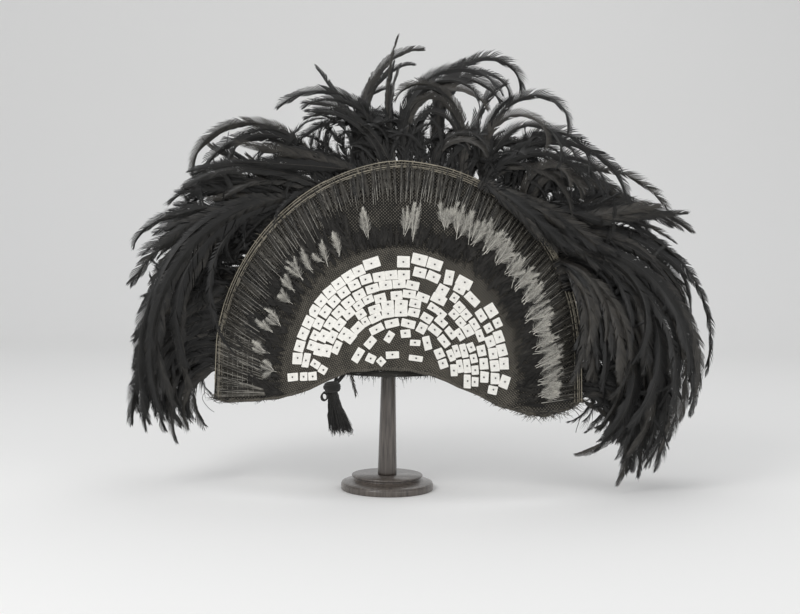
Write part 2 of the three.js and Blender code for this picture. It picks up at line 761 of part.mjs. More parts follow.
// One strand, from inside the head over its waist to the foot of the tassel.
function tasselStrand(index) {
  const { headX, headZ, y, topRadius, footX, footZ, footSpread } = TASSEL;
  const turn = (2 * Math.PI * index) / TASSEL.strands;
  const reach = 1 - 0.25 * (index % 3);
  const [across, deep] = [Math.cos(turn), Math.sin(turn)];
  return strip([
    new THREE.Vector3(headX + 4 * across, y + 3 * deep, headZ - 2),
    new THREE.Vector3(headX + 3 + topRadius * across * reach, y + 5 * deep * reach, headZ - 24),
    new THREE.Vector3(
      footX + footSpread * across * reach,
      y + 7 * deep * reach,
      footZ + 5 * across + 2 * (index % 2),
    ),
  ], TASSEL.strandWidth, TASSEL.strandThick);
}

function makeTassel() {
  const { headX, headZ, y, knotAside, knotBelow } = TASSEL;
  const head = ball([headX, y, headZ], TASSEL.headRadii, 8, 6);
  const knot = ball([headX - knotAside, y, headZ - knotBelow], TASSEL.knotRadii, 6, 4);
  const tapes = TAPES.map(([x, back]) => strip([
    onFace(x, edgeZ(x) + 5, -FAN.thick - GAP - back),
    onFace(x, edgeZ(x) - 3, -FAN.thick - GAP - back),
    new THREE.Vector3(headX + 4, y, headZ + 4),
  ], TASSEL.tapeWidth, TASSEL.tapeThick));
  const strands = Array.from({ length: TASSEL.strands }, (_, i) => tasselStrand(i));
  addPiece('tassel', fuse([head, knot, ...tapes, ...strands]), material(COLOURS.tassel, 0.9));
}

function makeLooseFeather() {
  const steps = LOOSE_FEATHER.length - 1;
  const feather = shapedBox([steps, 1, 1], (u, v, w) => {
    const [x, z, back, width] = LOOSE_FEATHER[Math.round(steps * u)];
    return onFace(x, z, -FAN.thick - back)
      .add(new THREE.Vector3(width * (v - 0.5), LOOSE_FEATHER_THICK * (w - 0.5), 0));
  });
  addPiece('loose_feather', feather, material(COLOURS.shortFeather, 0.8));
}

// ---------------------------------------------------------------- assembly

makeStand();
makeCap();
makePanel();
makeRidgedBand('short_feathers', 24, 2, 0.04, 0.5, 0.58, material(COLOURS.shortFeather, 0.8));
makeRidgedBand('quill_band', 28, 2, 0.61, 0.875, 0.89, material(COLOURS.quill, 0.85));
makeDown();
makeHoops();
makePlumes();
makePlaques();
makeTassel();
makeLooseFeather();

export default headdress;
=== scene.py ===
"""Feathered headdress on a turned wooden stand.

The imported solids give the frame: every piece here rides on them, and stands in the same place
in metres. Sizes in this file are millimetres, like those of the solids, and turn into metres
where a mesh is made.
"""

import math

import bpy
import numpy as np
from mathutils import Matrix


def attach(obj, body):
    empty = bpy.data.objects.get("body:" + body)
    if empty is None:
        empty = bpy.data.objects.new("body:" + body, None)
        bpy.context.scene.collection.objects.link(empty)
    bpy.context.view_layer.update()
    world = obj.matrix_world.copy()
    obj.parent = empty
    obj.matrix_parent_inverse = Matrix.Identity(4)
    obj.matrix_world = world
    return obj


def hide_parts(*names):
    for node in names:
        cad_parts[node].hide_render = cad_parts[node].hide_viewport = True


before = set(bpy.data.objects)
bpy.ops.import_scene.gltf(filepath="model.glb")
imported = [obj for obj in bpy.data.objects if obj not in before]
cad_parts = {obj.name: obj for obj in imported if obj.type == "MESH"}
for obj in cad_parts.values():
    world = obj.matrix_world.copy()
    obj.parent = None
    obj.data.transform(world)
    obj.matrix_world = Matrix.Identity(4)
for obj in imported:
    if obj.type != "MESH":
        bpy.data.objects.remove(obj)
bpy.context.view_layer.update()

bl_info = {
    "name": "Feathered Headdress",
    "version": (1, 0, 0),
    "blender": (4, 5, 0),
    "location": "View3D > Sidebar > Headdress",
    "description": "Builds a feathered headdress with shell plaques on its stand",
    "category": "Object",
}

MM = 0.001
BODY = "root"

# ---------------------------------------------------------------- driving dimensions

# The fan: a stilted arch that leans back and is swept back towards its sides.
CENTRE_X = 14.0
SPRING_Z = 205.0
FAN_RADIUS = 255.0
FLAT_LEFT = 0.035
FLAT_RIGHT = 0.005
FIRST_AT = -17.0
LAST_AT = 197.0
FRONT_Y = -88.0
FRONT_Z = 180.0
SWEEP_RADIUS = 450.0
LEAN = math.tan(math.radians(12.0))
PANEL_THICK = 3.0

# Lower edge of the fan as rows of [x, z], from its left corner to its right corner.
EDGE = np.array([
    [-242, 128], [-222, 125], [-184, 129], [-148, 134], [-106, 148], [-79, 163],
    [-53, 173], [-10, 177.5], [31, 176], [62, 170], [94, 155], [125, 143],
    [150, 129], [187, 118], [213, 113], [250, 121], [269, 131],
])

# The plaques lie in arcs round a hub.
HUB_X = 15.0
HUB_Z = 169.5
HUB_STRETCH = 1.09
HUB_TURN = 0.8
BORDER = 156.0

# The cap's dome and rolled band.
CAP_Y = 2.0
CAP_HALF_X = 74.0
CAP_HALF_Y = 81.5
CAP_RIM_Z = 181.3
CAP_HEIGHT = 96.0
CAP_WALL = 2.5
CAP_ROUNDNESS = 2.2
BAND_LOW_Z = 167.0
BAND_HALF_X = 77.0
BAND_HALF_Y = 86.4
BAND_WALL = 4.0

# Profile of the stand's foot and post as rows of [radius, z].
FOOT = [
    [0, 0], [63.6, 0], [64.8, 0.6], [65, 1.6], [65, 7.2], [64.6, 8], [63.9, 8.5], [63.7, 8.9],
    [64.1, 9.3], [63.6, 10.1], [61.5, 11], [57.5, 11.9], [53, 13], [50, 14.2], [48.2, 15.3],
    [47.5, 16.3], [47.7, 17.1], [49.2, 17.7], [49.9, 18.3], [50, 19.6], [49.5, 20.4], [0, 20.5],
]
POST = [
    [0, 20.8], [13.4, 20.8], [13.2, 30], [12.5, 60], [11.4, 105], [10.4, 150], [9.4, 271], [0, 272],
]

# ---------------------------------------------------------------- colours


def linear(hex_colour):
    """An sRGB hex colour as linear red, green and blue."""
    channels = [int(hex_colour[i:i + 2], 16) / 255 for i in (1, 3, 5)]
    return tuple(c / 12.92 if c <= 0.04045 else ((c + 0.055) / 1.055) ** 2.4 for c in channels)


def colour_prop(name, description, hex_colour):
    """A colour setting with its default in hex."""
    return bpy.props.FloatVectorProperty(
        name=name,
        description=description,
        subtype="COLOR",
        size=3,
        min=0,
        max=1,
        default=linear(hex_colour),
    )


def length_prop(name, description, millimetres):
    """A length setting with its default in mm."""
    return bpy.props.FloatProperty(
        name=name,
        description=description,
        subtype="DISTANCE",
        unit="LENGTH",
        min=0,
        default=millimetres * MM,
    )


# ---------------------------------------------------------------- the fan's surface


def face_y(x, z):
    """Y of the fan's front surface."""
    return FRONT_Y + (x - CENTRE_X) ** 2 / (2 * SWEEP_RADIUS) + (z - FRONT_Z) * LEAN


def on_face(x, z, lift=0.0):
    """Points on the fan, lifted off it towards the viewer."""
    x, z, lift = np.broadcast_arrays(
        np.asarray(x, float), np.asarray(z, float), np.asarray(lift, float)
    )
    return np.stack([x, face_y(x, z) - lift, z], -1)


def rim_point(at, out=0.0, lift=0.0):
    """Points of the fan's rim. `at` runs from 0 on the right over 90 at the top to 180 on the
    left, and on past both down the straight sides."""
    at = np.asarray(at, float)
    beyond = np.where(at > 180, at - 180, np.minimum(at, 0))
    angle = np.radians(np.clip(at, 0, 180))
    flat = np.where(at > 90, FLAT_LEFT, FLAT_RIGHT)
    radius = FAN_RADIUS * (1 - flat * np.abs(np.sin(2 * angle))) + out
    x = CENTRE_X + radius * np.cos(angle)
    z = SPRING_Z + radius * np.sin(angle) - FAN_RADIUS * np.radians(np.abs(beyond))
    return on_face(x, z, lift)


def edge_z(x):
    """Height of the fan's lower edge."""
    return np.interp(x, EDGE[:, 0], EDGE[:, 1])


def band_point(at, share, lift=0.0):
    """Points of the band between the plaques (share 0) and the rim (share 1)."""
    at = np.asarray(at, float)
    border_x = HUB_X + BORDER * np.cos(np.radians(at))
    border_z = HUB_Z + HUB_STRETCH * BORDER * np.sin(np.radians(at))
    border_z = np.maximum(border_z, edge_z(border_x) + 3)
    rim = rim_point(at)
    x = border_x + (rim[..., 0] - border_x) * share
    z = border_z + (rim[..., 2] - border_z) * share
    return on_face(x, np.maximum(z, edge_z(x) + 1), lift)


# ---------------------------------------------------------------- mesh building


def unit(vectors):
    """Vectors along the last axis, brought to length 1."""
    return vectors / np.maximum(np.linalg.norm(vectors, axis=-1, keepdims=True), 1e-9)


class Shape:
    """Gathers the points, faces and tones of one piece. A point's tone is a number from 0 to 1
    that its material uses to set that part of the piece off from the rest."""

    def __init__(self):
        self.points = []
        self.tones = []
        self.triangles = []
        self.quads = []
        self.count = 0

    def add(self, points, triangles=None, quads=None, tone=0.5):
        points = np.asarray(points, float).reshape(-1, 3)
        if triangles is not None:
            self.triangles.append(np.asarray(triangles).reshape(-1, 3) + self.count)
        if quads is not None:
            self.quads.append(np.asarray(quads).reshape(-1, 4) + self.count)
        self.points.append(points)
        self.tones.append(np.broadcast_to(np.asarray(tone, float).ravel(), (len(points),)))
        self.count += len(points)

    def make(self, name, material, replaced=(), smooth=True):
        """The finished piece, riding on the frame."""
        triangles = np.concatenate(self.triangles or [np.zeros((0, 3), int)])
        quads = np.concatenate(self.quads or [np.zeros((0, 4), int)])
        corners = np.concatenate([triangles.ravel(), quads.ravel()]).astype(np.int32)
        starts = np.concatenate([
            np.arange(len(triangles)) * 3,
            3 * len(triangles) + np.arange(len(quads)) * 4,
        ]).astype(np.int32)
        mesh = bpy.data.meshes.new(name)
        mesh.vertices.add(self.count)
        mesh.vertices.foreach_set("co", (np.concatenate(self.points) * MM).ravel())
        mesh.loops.add(len(corners))
        mesh.loops.foreach_set("vertex_index", corners)
        mesh.polygons.add(len(starts))
        mesh.polygons.foreach_set("loop_start", starts)
        mesh.polygons.foreach_set("use_smooth", np.full(len(starts), smooth))
        tone = mesh.attributes.new("tone", "FLOAT", "POINT")
        tone.data.foreach_set("value", np.concatenate(self.tones).astype(np.float32))
        mesh.update(calc_edges=True)
        mesh.validate()
        piece = bpy.data.objects.new(name, mesh)
        bpy.context.scene.collection.objects.link(piece)
        mesh.materials.append(material)
        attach(piece, BODY)
        if replaced:
            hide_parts(*replaced)
        return piece


def grid_quads(rows, columns, closed_rows=False, closed_columns=False):
    """Corner numbers of the faces of a grid of points, rows by columns."""
    last_row = rows if closed_rows else rows - 1
    last_column = columns if closed_columns else columns - 1
    i, j = np.meshgrid(np.arange(last_row), np.arange(last_column), indexing="ij")
    below = (i + 1) % rows
    right = (j + 1) % columns
    return np.stack(
        [i * columns + j, i * columns + right, below * columns + right, below * columns + j], -1
    ).reshape(-1, 4)


def frames(paths, facing):
    """Tangents, side directions and face directions along paths (..., points, 3)."""
    tangents = unit(np.gradient(paths, axis=-2))
    sides = unit(np.cross(tangents, np.broadcast_to(facing, tangents.shape)))
    return tangents, sides, np.cross(sides, tangents)


def add_tubes(shape, paths, radii, sides=4, tone=0.5, facing=(0.013, 1, 0.021)):
    """Round strands along paths (strands, points, 3). `radii` is one number, one per point, or
    one per strand and point."""
    paths = np.asarray(paths, float)
    if paths.ndim == 2:
        paths = paths[None]
    strands, points = paths.shape[:2]
    _, across, outward = frames(paths, np.asarray(facing, float))
    radii = np.broadcast_to(radii, (strands, points))[..., None, None]
    turns = np.arange(sides) * 2 * np.pi / sides
    ring = (
        across[:, :, None] * np.cos(turns)[None, None, :, None]
        + outward[:, :, None] * np.sin(turns)[None, None, :, None]
    )
    tube = paths[:, :, None] + ring * radii
    start = (np.arange(strands) * points * sides)[:, None, None]
    walls = grid_quads(points, sides, closed_columns=True)[None] + start
    fan = np.stack([np.zeros(sides - 2, int), np.arange(1, sides - 1), np.arange(2, sides)], -1)
    near = fan[None] + start
    far = fan[None, :, ::-1] + start + (points - 1) * sides
    tones = np.broadcast_to(np.asarray(tone, float).reshape(-1, 1), (strands, points * sides))
    shape.add(tube, np.concatenate([near, far]), walls[..., ::-1], tones)


def strand_paths(roots, headings, curls, lengths):
    """Paths of short strands that start out along their headings and curl away from them."""
    shares = np.linspace(0, 1, 4)[None, :, None]
    bent = headings[:, None] * shares + curls * shares ** 2
    return roots[:, None] + bent * lengths[:, None, None]


def add_box_strip(shape, centres, side, out, widths, depths, tone=0.5):
    """One flat strip with a four-cornered section through some centres."""
    widths = np.broadcast_to(widths, len(centres))[:, None] / 2
    depths = np.broadcast_to(depths, len(centres))[:, None] / 2
    corners = [(-1, -1), (1, -1), (1, 1), (-1, 1)]
    section = np.stack([centres + side * widths * a + out * depths * b for a, b in corners], 1)
    last = 4 * (len(centres) - 1)
    quads = np.concatenate([
        grid_quads(len(centres), 4, closed_columns=True)[:, ::-1],
        [[0, 1, 2, 3], [last + 3, last + 2, last + 1, last]],
    ])
    shape.add(section, quads=quads, tone=tone)


def smooth_noise(rng, count, spacing):
    """Random numbers from -1 to 1 that change smoothly over `spacing` steps."""
    knots = rng.uniform(-1, 1, int(count / spacing) + 3)
    return np.interp(np.arange(count) / spacing, np.arange(len(knots)), knots)


# Radii of fine strands, from root to end.
FRAY_RADII = np.array([0.4, 0.35, 0.28, 0.12])
THICK_FRAY_RADII = np.array([0.5, 0.45, 0.35, 0.15])
BARB_RADII = np.array([0.22, 0.2, 0.16, 0.06])

# ---------------------------------------------------------------- feathers

BARB_BASE_ANGLE = 38.0
BARB_TIP_ANGLE = 14.0


def vane_width(share):
    """Share of a cock's tail feather's full width along its length."""
    return np.minimum(1, 0.5 + 2 * share) * np.maximum(1 - share ** 6, 0.02) ** 0.6


def add_feather(shape, path, width, rng, barb=2.6, shaft=0.8, bare=0.06, ragged=0.3, twist=(0, 0),
                tone=0.5, shaft_tone=None, split=0.0, cup=0.14, comb=0.45, facing=(0, 1, 0)):
    """A feather along a path: a tapered shaft, and on each side a row of barbs that lie edge to
    edge and then end in separate points. `comb` is the share of their length that is separate."""
    steps = np.linalg.norm(np.diff(path, axis=0), axis=1)
    travelled = np.concatenate([[0], np.cumsum(steps)])
    length = travelled[-1]
    tangents, sides, faces = frames(path, np.asarray(facing, float))
    share = travelled / length
    turn = np.radians(twist[0] + twist[1] * share)[:, None]
    sides, faces = (
        sides * np.cos(turn) + faces * np.sin(turn),
        faces * np.cos(turn) - sides * np.sin(turn),
    )
    stem = np.linspace(0, 1, max(4, int(length / 12)))
    stem_path = np.stack([np.interp(stem, share, path[:, k]) for k in range(3)], -1)
    stem_tone = tone if shaft_tone is None else shaft_tone
    add_tubes(shape, stem_path, shaft * (1 - 0.85 * stem), 3, stem_tone)

    count = max(6, int(length * (1 - bare) / barb))
    roots = np.linspace(bare, 1, count + 1)
    at_root = [np.interp(roots, share, column) for column in np.hstack([path, tangents]).T]
    position, tangent = np.stack(at_root[:3], -1), unit(np.stack(at_root[3:], -1))
    side = unit(np.stack([np.interp(roots, share, sides[:, k]) for k in range(3)], -1))
    face = unit(np.stack([np.interp(roots, share, faces[:, k]) for k in range(3)], -1))
    middle = (roots[:-1] + roots[1:]) / 2
    angle = np.radians(BARB_BASE_ANGLE + (BARB_TIP_ANGLE - BARB_BASE_ANGLE) * middle ** 1.5)
    half = width / 2 * vane_width(middle)
    for sign in (-1, 1):
        rough = 1 + ragged * (0.6 * smooth_noise(rng, count, 5) + 0.5 * rng.uniform(-1, 1, count))
        rough = np.where(rng.uniform(0, 1, count) < split, 0.35 * rough, rough)
        reach = (half * rough / np.sin(angle))[:, None]
        drift = np.radians(7 * smooth_noise(rng, count, 4))
        lean = angle + drift
        inner = (np.cos(lean)[:, None] * tangent[:-1] + sign * np.sin(lean)[:, None] * side[:-1])
        bent = lean - np.radians(12)
        outer = (np.cos(bent)[:, None] * tangent[:-1] + sign * np.sin(bent)[:, None] * side[:-1])
        lift = (rng.uniform(-0.5, 0.5, count) + cup * half)[:, None] * face[:-1]
        shoulder = (1 - comb) * reach * inner + 0.4 * lift
        mid_low = position[:-1] + shoulder
        mid_high = position[1:] + shoulder
        tip = (mid_low + mid_high) / 2 + comb * reach * outer + lift
        points = np.stack([position[:-1], position[1:], mid_high, mid_low, tip], 1)
        start = np.arange(count)[:, None] * 5
        order = [0, 1, 2, 3] if sign > 0 else [3, 2, 1, 0]
        point = [3, 2, 4] if sign > 0 else [4, 2, 3]
        tones = np.repeat(tone + 0.12 * rng.uniform(-1, 1, count), 5)
        shape.add(points, start + np.array([point]), start + np.array([order]), tones)


def add_down(shape, root, tip, width, rng, barbs=220, tone=0.6, facing=(0, 1, 0)):
    """A fluffy down feather: a short pale quill and fine barbs that bow out from it."""
    shares = np.linspace(0, 1, 7)[:, None]
    length = np.linalg.norm(tip - root)
    along = unit(tip - root)
    side = unit(np.cross(along, np.asarray(facing, float)))
    face = np.cross(side, along)
    bow = rng.uniform(-0.12, 0.12) * length
    path = root + (tip - root) * shares + side * bow * np.sin(np.pi * shares)
    add_tubes(shape, path, 0.45 * (1 - 0.8 * shares[:, 0]), 3, tone + 0.2)
    at = rng.uniform(0.18, 1, barbs)
    start = np.stack([np.interp(at, shares[:, 0], path[:, k]) for k in range(3)], -1)
    sign = np.where(rng.uniform(0, 1, barbs) < 0.5, -1, 1)
    angle = np.radians(rng.uniform(8, 58, barbs) * (1.15 - 0.55 * at))
    reach = width * rng.uniform(0.25, 1.0, barbs) ** 1.4 * (0.5 + 0.8 * np.sin(np.pi * at ** 0.8))
    rise = rng.uniform(-0.2, 1.0, barbs)[:, None] * face
    heading = unit(
        np.cos(angle)[:, None] * along + (sign * np.sin(angle))[:, None] * side + 0.6 * rise
    )
    bend = start + heading * (0.55 * reach)[:, None]
    later = unit(heading + 0.8 * along + 0.5 * rng.uniform(-1, 1, (barbs, 3)))
    end = bend + later * (0.7 * reach)[:, None]
    across = unit(np.cross(heading, face + 0.6 * rng.uniform(-1, 1, (barbs, 3)))) * 0.15
    points = np.stack([start - across, start + across, bend + across, bend - across, end], 1)
    base = np.arange(barbs)[:, None] * 5
    # The barbs darken towards the quill and towards each barb's root: painted shade where the tufts
    # overlap.
    painted_root_shade = tone * (0.25 + 0.75 * at) + rng.uniform(-0.3, 0.3, barbs)
    tones = np.clip(painted_root_shade, 0, 1)[:, None] * np.array([0.4, 0.4, 0.9, 0.9, 1])
    shape.add(
        points, base + np.array([[3, 2, 4]]), base + np.array([[0, 1, 2, 3]]), tones.ravel()
    )


# ---------------------------------------------------------------- materials


def add_node(tree, kind, settings=None, links=None):
    """Adds a node, sets its properties and input values, and links its inputs."""
    node = tree.nodes.new(kind)
    for key, value in (settings or {}).items():
        if isinstance(key, str) and hasattr(node, key):
            setattr(node, key, value)
        else:
            node.inputs[key].default_value = value
    for key, source in (links or {}).items():
        tree.links.new(source, node.inputs[key])
    return node


def tinted(colour, factor):
    """A colour made darker or lighter by a factor."""
    return [min(1, factor * channel) for channel in colour]


def surface(name, stops, shader_settings, blotch=8.0, share=0.3, stretch=(1, 1, 1), fine=0.8,
            relief=0.15, weave=None):
    """A material whose colour follows each point's tone and some blotches, through a ramp of
    rows of [place, colour], with fine grain as a bump. `blotch` and `fine` are sizes in mm,
    `relief` is the depth of the grain in mm, and `weave` the pitch in mm of a diagonal net."""
    material = bpy.data.materials.new(name)
    material.use_nodes = True
    tree = material.node_tree
    shader = tree.nodes["Principled BSDF"]
    for key, value in shader_settings.items():
        shader.inputs[key].default_value = value
    place = add_node(tree, "ShaderNodeTexCoord").outputs["Object"]
    place = add_node(
        tree, "ShaderNodeVectorMath", {"operation": "SCALE", "Scale": 1 / MM}, {0: place}
    ).outputs[0]
    drawn = add_node(
        tree, "ShaderNodeVectorMath", {"operation": "MULTIPLY", 1: stretch}, {0: place}
    ).outputs[0]
    blotches = add_node(
        tree, "ShaderNodeTexNoise", {"Scale": 1 / blotch, "Detail": 4}, {"Vector": drawn}
    ).outputs["Fac"]
    grain = add_node(
        tree, "ShaderNodeTexNoise", {"Scale": 1 / fine, "Detail": 3}, {"Vector": drawn}
    ).outputs["Fac"]
    tone = add_node(tree, "ShaderNodeAttribute", {"attribute_name": "tone"}).outputs["Fac"]
    if weave is not None:
        diagonal = add_node(
            tree, "ShaderNodeMapping", {"Rotation": (0, math.radians(45), 0)}, {"Vector": place}
        ).outputs["Vector"]
        ridges = [
            add_node(
                tree, "ShaderNodeTexWave",
                {"bands_direction": direction, "Scale": math.pi / 10 / weave, "Distortion": 0.8},
                {"Vector": diagonal},
            ).outputs["Fac"]
            for direction in "XZ"
        ]
        # The weave's ridges set the colour as well as the bump: painted shade in its gaps, painted
        # highlight on its ridges.
        tone = add_node(
            tree, "ShaderNodeMath", {"operation": "MULTIPLY"}, dict(enumerate(ridges))
        ).outputs[0]
        grain = tone
    shade = add_node(
        tree, "ShaderNodeMix", {"data_type": "FLOAT", "Factor": share}, {2: tone, 3: blotches}
    ).outputs[0]
    ramp = add_node(tree, "ShaderNodeValToRGB", links={"Fac": shade})
    while len(ramp.color_ramp.elements) < len(stops):
        ramp.color_ramp.elements.new(0.5)
    for element, (at, colour) in zip(ramp.color_ramp.elements, stops):
        element.position = at
        element.color = (*colour, 1)
    raised = add_node(
        tree, "ShaderNodeBump", {"Strength": 0.6, "Distance": relief * MM}, {"Height": grain}
    )
    tree.links.new(ramp.outputs["Color"], shader.inputs["Base Color"])
    tree.links.new(raised.outputs["Normal"], shader.inputs["Normal"])
    return material


def black_feather_material(colours):
    """Cock's tail feathers, undyed black keratin. The barbs lie like fine threads, so the vane has
    a soft satin sheen, and the ramp's palest colour is a painted sheen in brown-black that
    feathers get through their tone, at random."""
    # The palest stop is a painted sheen: a lighter copy of the plume black.
    stops = [
        (0.2, tinted(colours.plume, 0.45)), (0.55, colours.plume), (0.95, colours.plume_painted_sheen),
    ]
    shine = {"Roughness": 0.42, "IOR": 1.54, "Specular IOR Level": 0.3, "Sheen Weight": 0.06}
    return surface("cock_tail_feather", stops, shine, blotch=9, share=0.35, fine=0.9)


def short_feather_material(colours):
    """Short body feathers, matted and dusty: brown-black, dull, with paler shafts."""
    stops = [
        (0.15, tinted(colours.short_feather, 0.4)), (0.5, colours.short_feather),
        (0.95, colours.quill),
    ]
    shine = {"Roughness": 0.72, "IOR": 1.54, "Specular IOR Level": 0.25, "Sheen Weight": 0.05}
    return surface("matted_body_feather", stops, shine, blotch=6)


def down_material(colours):
    """Down, soft and matt: off-white at the ends of its barbs, and darker towards their roots as
    painted shade where the tufts lie over each other.
    """
    stops = [
        (0.1, tinted(colours.down, 0.06)), (0.4, tinted(colours.down, 0.5)),
        (0.75, colours.down),
    ]
    shine = {"Roughness": 0.9, "IOR": 1.5, "Sheen Weight": 0.15, "Sheen Roughness": 0.6}
    return surface("pale_down", stops, shine, blotch=5, share=0.35)


def quill_material(colours):
    """Narrow dark feathers bound side by side: horn-brown with pale shafts."""
    stops = [
        (0.1, tinted(colours.plume, 0.6)), (0.45, tinted(colours.quill, 0.35)),
        (0.95, tinted(colours.down, 0.75)),
    ]
    shine = {"Roughness": 0.6, "IOR": 1.54, "Specular IOR Level": 0.3}
    return surface("bound_quill", stops, shine, blotch=4, share=0.25, relief=0.12)


def net_light_and_shade_stops(colours):
    """Ramp of the knotted net, from painted shade in the gaps to a painted highlight on the tops of
    the knots.
    """
    return [
        (0.25, tinted(colours.fibre, 0.02)), (0.45, tinted(colours.fibre, 0.5)),
        (0.7, tinted(colours.fibre, 1.25)),
    ]


def knotted_fibre_material(colours):
    """Two-ply plant fibre cord, knotted row by row into a dense net and darkened with age: dull,
    with a painted highlight on top of the knots and painted shade between them."""
    shine = {"Roughness": 0.93, "IOR": 1.5, "Sheen Weight": 0.15}
    return surface("knotted_plant_fibre", net_light_and_shade_stops(colours), shine, blotch=16, relief=0.4)


def panel_back_material(colours):
    """The same knotted net where the panel is smooth: its knots are bumps, not mesh, with painted
    shade between them and a painted highlight on them.
    """
    shine = {"Roughness": 0.93, "IOR": 1.5, "Sheen Weight": 0.15}
    return surface(
        "knotted_plant_fibre_panel", net_light_and_shade_stops(colours), shine, blotch=18, share=0.4, relief=0.9,
        weave=3.2,
    )


def shell_material(colours):
    """Pearl shell, sawn into thin plaques and polished by hand: near white with faint growth
    lines, darker round its hole on top, painted shade down inside the hole and down its sides
    to the net, and a soft gloss."""
    stops = [
        (0.2, tinted(colours.shell, 0.35)), (0.42, tinted(colours.shell, 0.8)),
        (0.6, colours.shell),
    ]
    shine = {"Roughness": 0.34, "IOR": 1.56, "Coat Weight": 0.15, "Coat Roughness": 0.2}
    return surface("sawn_pearl_shell", stops, shine, blotch=3.2, share=0.4, stretch=(1, 1, 3.5))


def cane_material(colours):
    """Split cane, outer skin outwards: straw-coloured and smooth along the grain."""
    stops = [
        (0.15, tinted(colours.cane, 0.2)), (0.5, tinted(colours.cane, 0.65)),
        (0.9, colours.cane),
    ]
    return surface("split_cane", stops, {"Roughness": 0.55, "IOR": 1.5}, blotch=1.2, share=0.4)


def cap_material(colours):
    """Plant fibre cord looped into a cap: dark brown, matt and hairy, with painted shade in the
    grooves between its rounds and a painted highlight on the crests of the cord.
    """
    stops = [
        (0.15, tinted(colours.cap, 0.25)), (0.5, colours.cap), (0.9, tinted(colours.cap, 1.8)),
    ]
    shine = {"Roughness": 0.95, "IOR": 1.5, "Sheen Weight": 0.2}
    return surface("looped_fibre_cap", stops, shine, blotch=12, fine=0.9, relief=0.4)


def thread_material(name, colour):
    """Hand-twisted plant fibre thread: matt, with a fine twist."""
    stops = [(0.1, tinted(colour, 0.35)), (0.6, colour), (0.95, tinted(colour, 1.7))]
    shine = {"Roughness": 0.9, "IOR": 1.5, "Sheen Weight": 0.2}
    return surface(name, stops, shine, blotch=0.6, share=0.4, fine=0.6, relief=0.2)


def wood_material(colours):
    """Turned hardwood with a rubbed varnish: mid brown, with upright grain and a gloss."""
    stops = [
        (0.35, tinted(colours.wood, 0.45)), (0.5, colours.wood), (0.65, tinted(colours.wood, 1.5)),
    ]
    shine = {"Roughness": 0.38, "IOR": 1.5, "Coat Weight": 0.55, "Coat Roughness": 0.14}
    return surface("varnished_turned_wood", stops, shine, blotch=3, share=0.7,
                   stretch=(1, 1, 0.08), relief=0.12)


def paper_material(colours):
    """Matt backdrop paper with a trace of mottling."""
    stops = [(0.2, tinted(colours.floor, 0.97)), (0.8, colours.floor)]
    return surface("matt_backdrop_paper", stops, {"Roughness": 0.9}, blotch=220, relief=0.02)


# ---------------------------------------------------------------- settings


class HeaddressColours(bpy.types.PropertyGroup):
    """Colours of the headdress, its stand and its stage."""

    plume: colour_prop("Plume", "Black of the long cock's tail feathers", "#191816")
    # Painted sheen: a paler copy of the plume black that stands in for light on the barbs.
    plume_painted_sheen: colour_prop("Plume light", "Brown-black of feathers in the light", "#46423c")
    short_feather: colour_prop("Short feather", "Matted body feathers round the plaques", "#2a2825")
    down: colour_prop("Down", "Pale down tufts", "#dedacf")
    quill: colour_prop("Quill", "Quills bound along the rim", "#635e54")
    fibre: colour_prop("Fibre", "Knotted plant fibre of the panel", "#5f5a50")
    cane: colour_prop("Cane", "Split canes of the rim", "#a8a08e")
    cap: colour_prop("Cap", "Looped fibre of the cap", "#2f2c27")
    shell: colour_prop("Shell", "Pearl shell of the plaques", "#f1eee6")
    thread: colour_prop("Thread", "Dark thread in the holes of the plaques", "#221f1b")
    tassel: colour_prop("Tassel", "Dark fibre of the tassel", "#1c1a17")
    wood: colour_prop("Wood", "Varnished wood of the stand", "#57504a")
    floor: colour_prop("Floor", "Floor and backdrop", "#f3f2f0")


class HeaddressSizes(bpy.types.PropertyGroup):
    """Sizes and numbers that set how fine the headdress is made."""

    barb: length_prop("Barb spacing", "Distance between the barbs of a long feather", 3.1)
    knot_pitch: length_prop("Knot pitch", "Distance between the knots of the panel", 4.0)
    cane_thick: length_prop("Cane", "Thickness of a split cane", 1.25)
    hole: length_prop("Hole", "Diameter of the hole through a plaque", 2.4)
    thread_thick: length_prop("Thread", "Thickness of the thread on the plaques", 0.6)


def colours():
    return bpy.context.scene.headdress_colours


def sizes():
    return bpy.context.scene.headdress_sizes


# ---------------------------------------------------------------- camera and stage


# Square soft lights: place and side in metres, and power in watts.
LIGHTS = {
    "key_light": ((-1.3, -1.9, 1.75), 1.1, 26),
    "fill_light": ((1.7, -1.7, 1.1), 1.6, 9),
    "top_light": ((0.0, 0.1, 2.3), 1.8, 9),
    "back_light": ((0.9, 2.2, 2.6), 1.6, 6),
}
LIGHTS_AIM = (0.014, 0, 0.3)
CAMERA_PLACE = (0.014, -1.792, 0.352)
CAMERA_TILT = math.radians(90 - 3.04)
CAMERA_ROLL = math.radians(-0.7)


def make_camera():
    """Looks at the headdress from in front, a little above its stand."""
    data = bpy.data.cameras.new("camera")
    data.sensor_width = 36
    data.lens = 57.6
    camera = bpy.data.objects.new("camera", data)
    camera.location = CAMERA_PLACE
    camera.rotation_euler = (CAMERA_TILT, CAMERA_ROLL, 0)
    bpy.context.scene.collection.objects.link(camera)
    bpy.context.scene.camera = camera


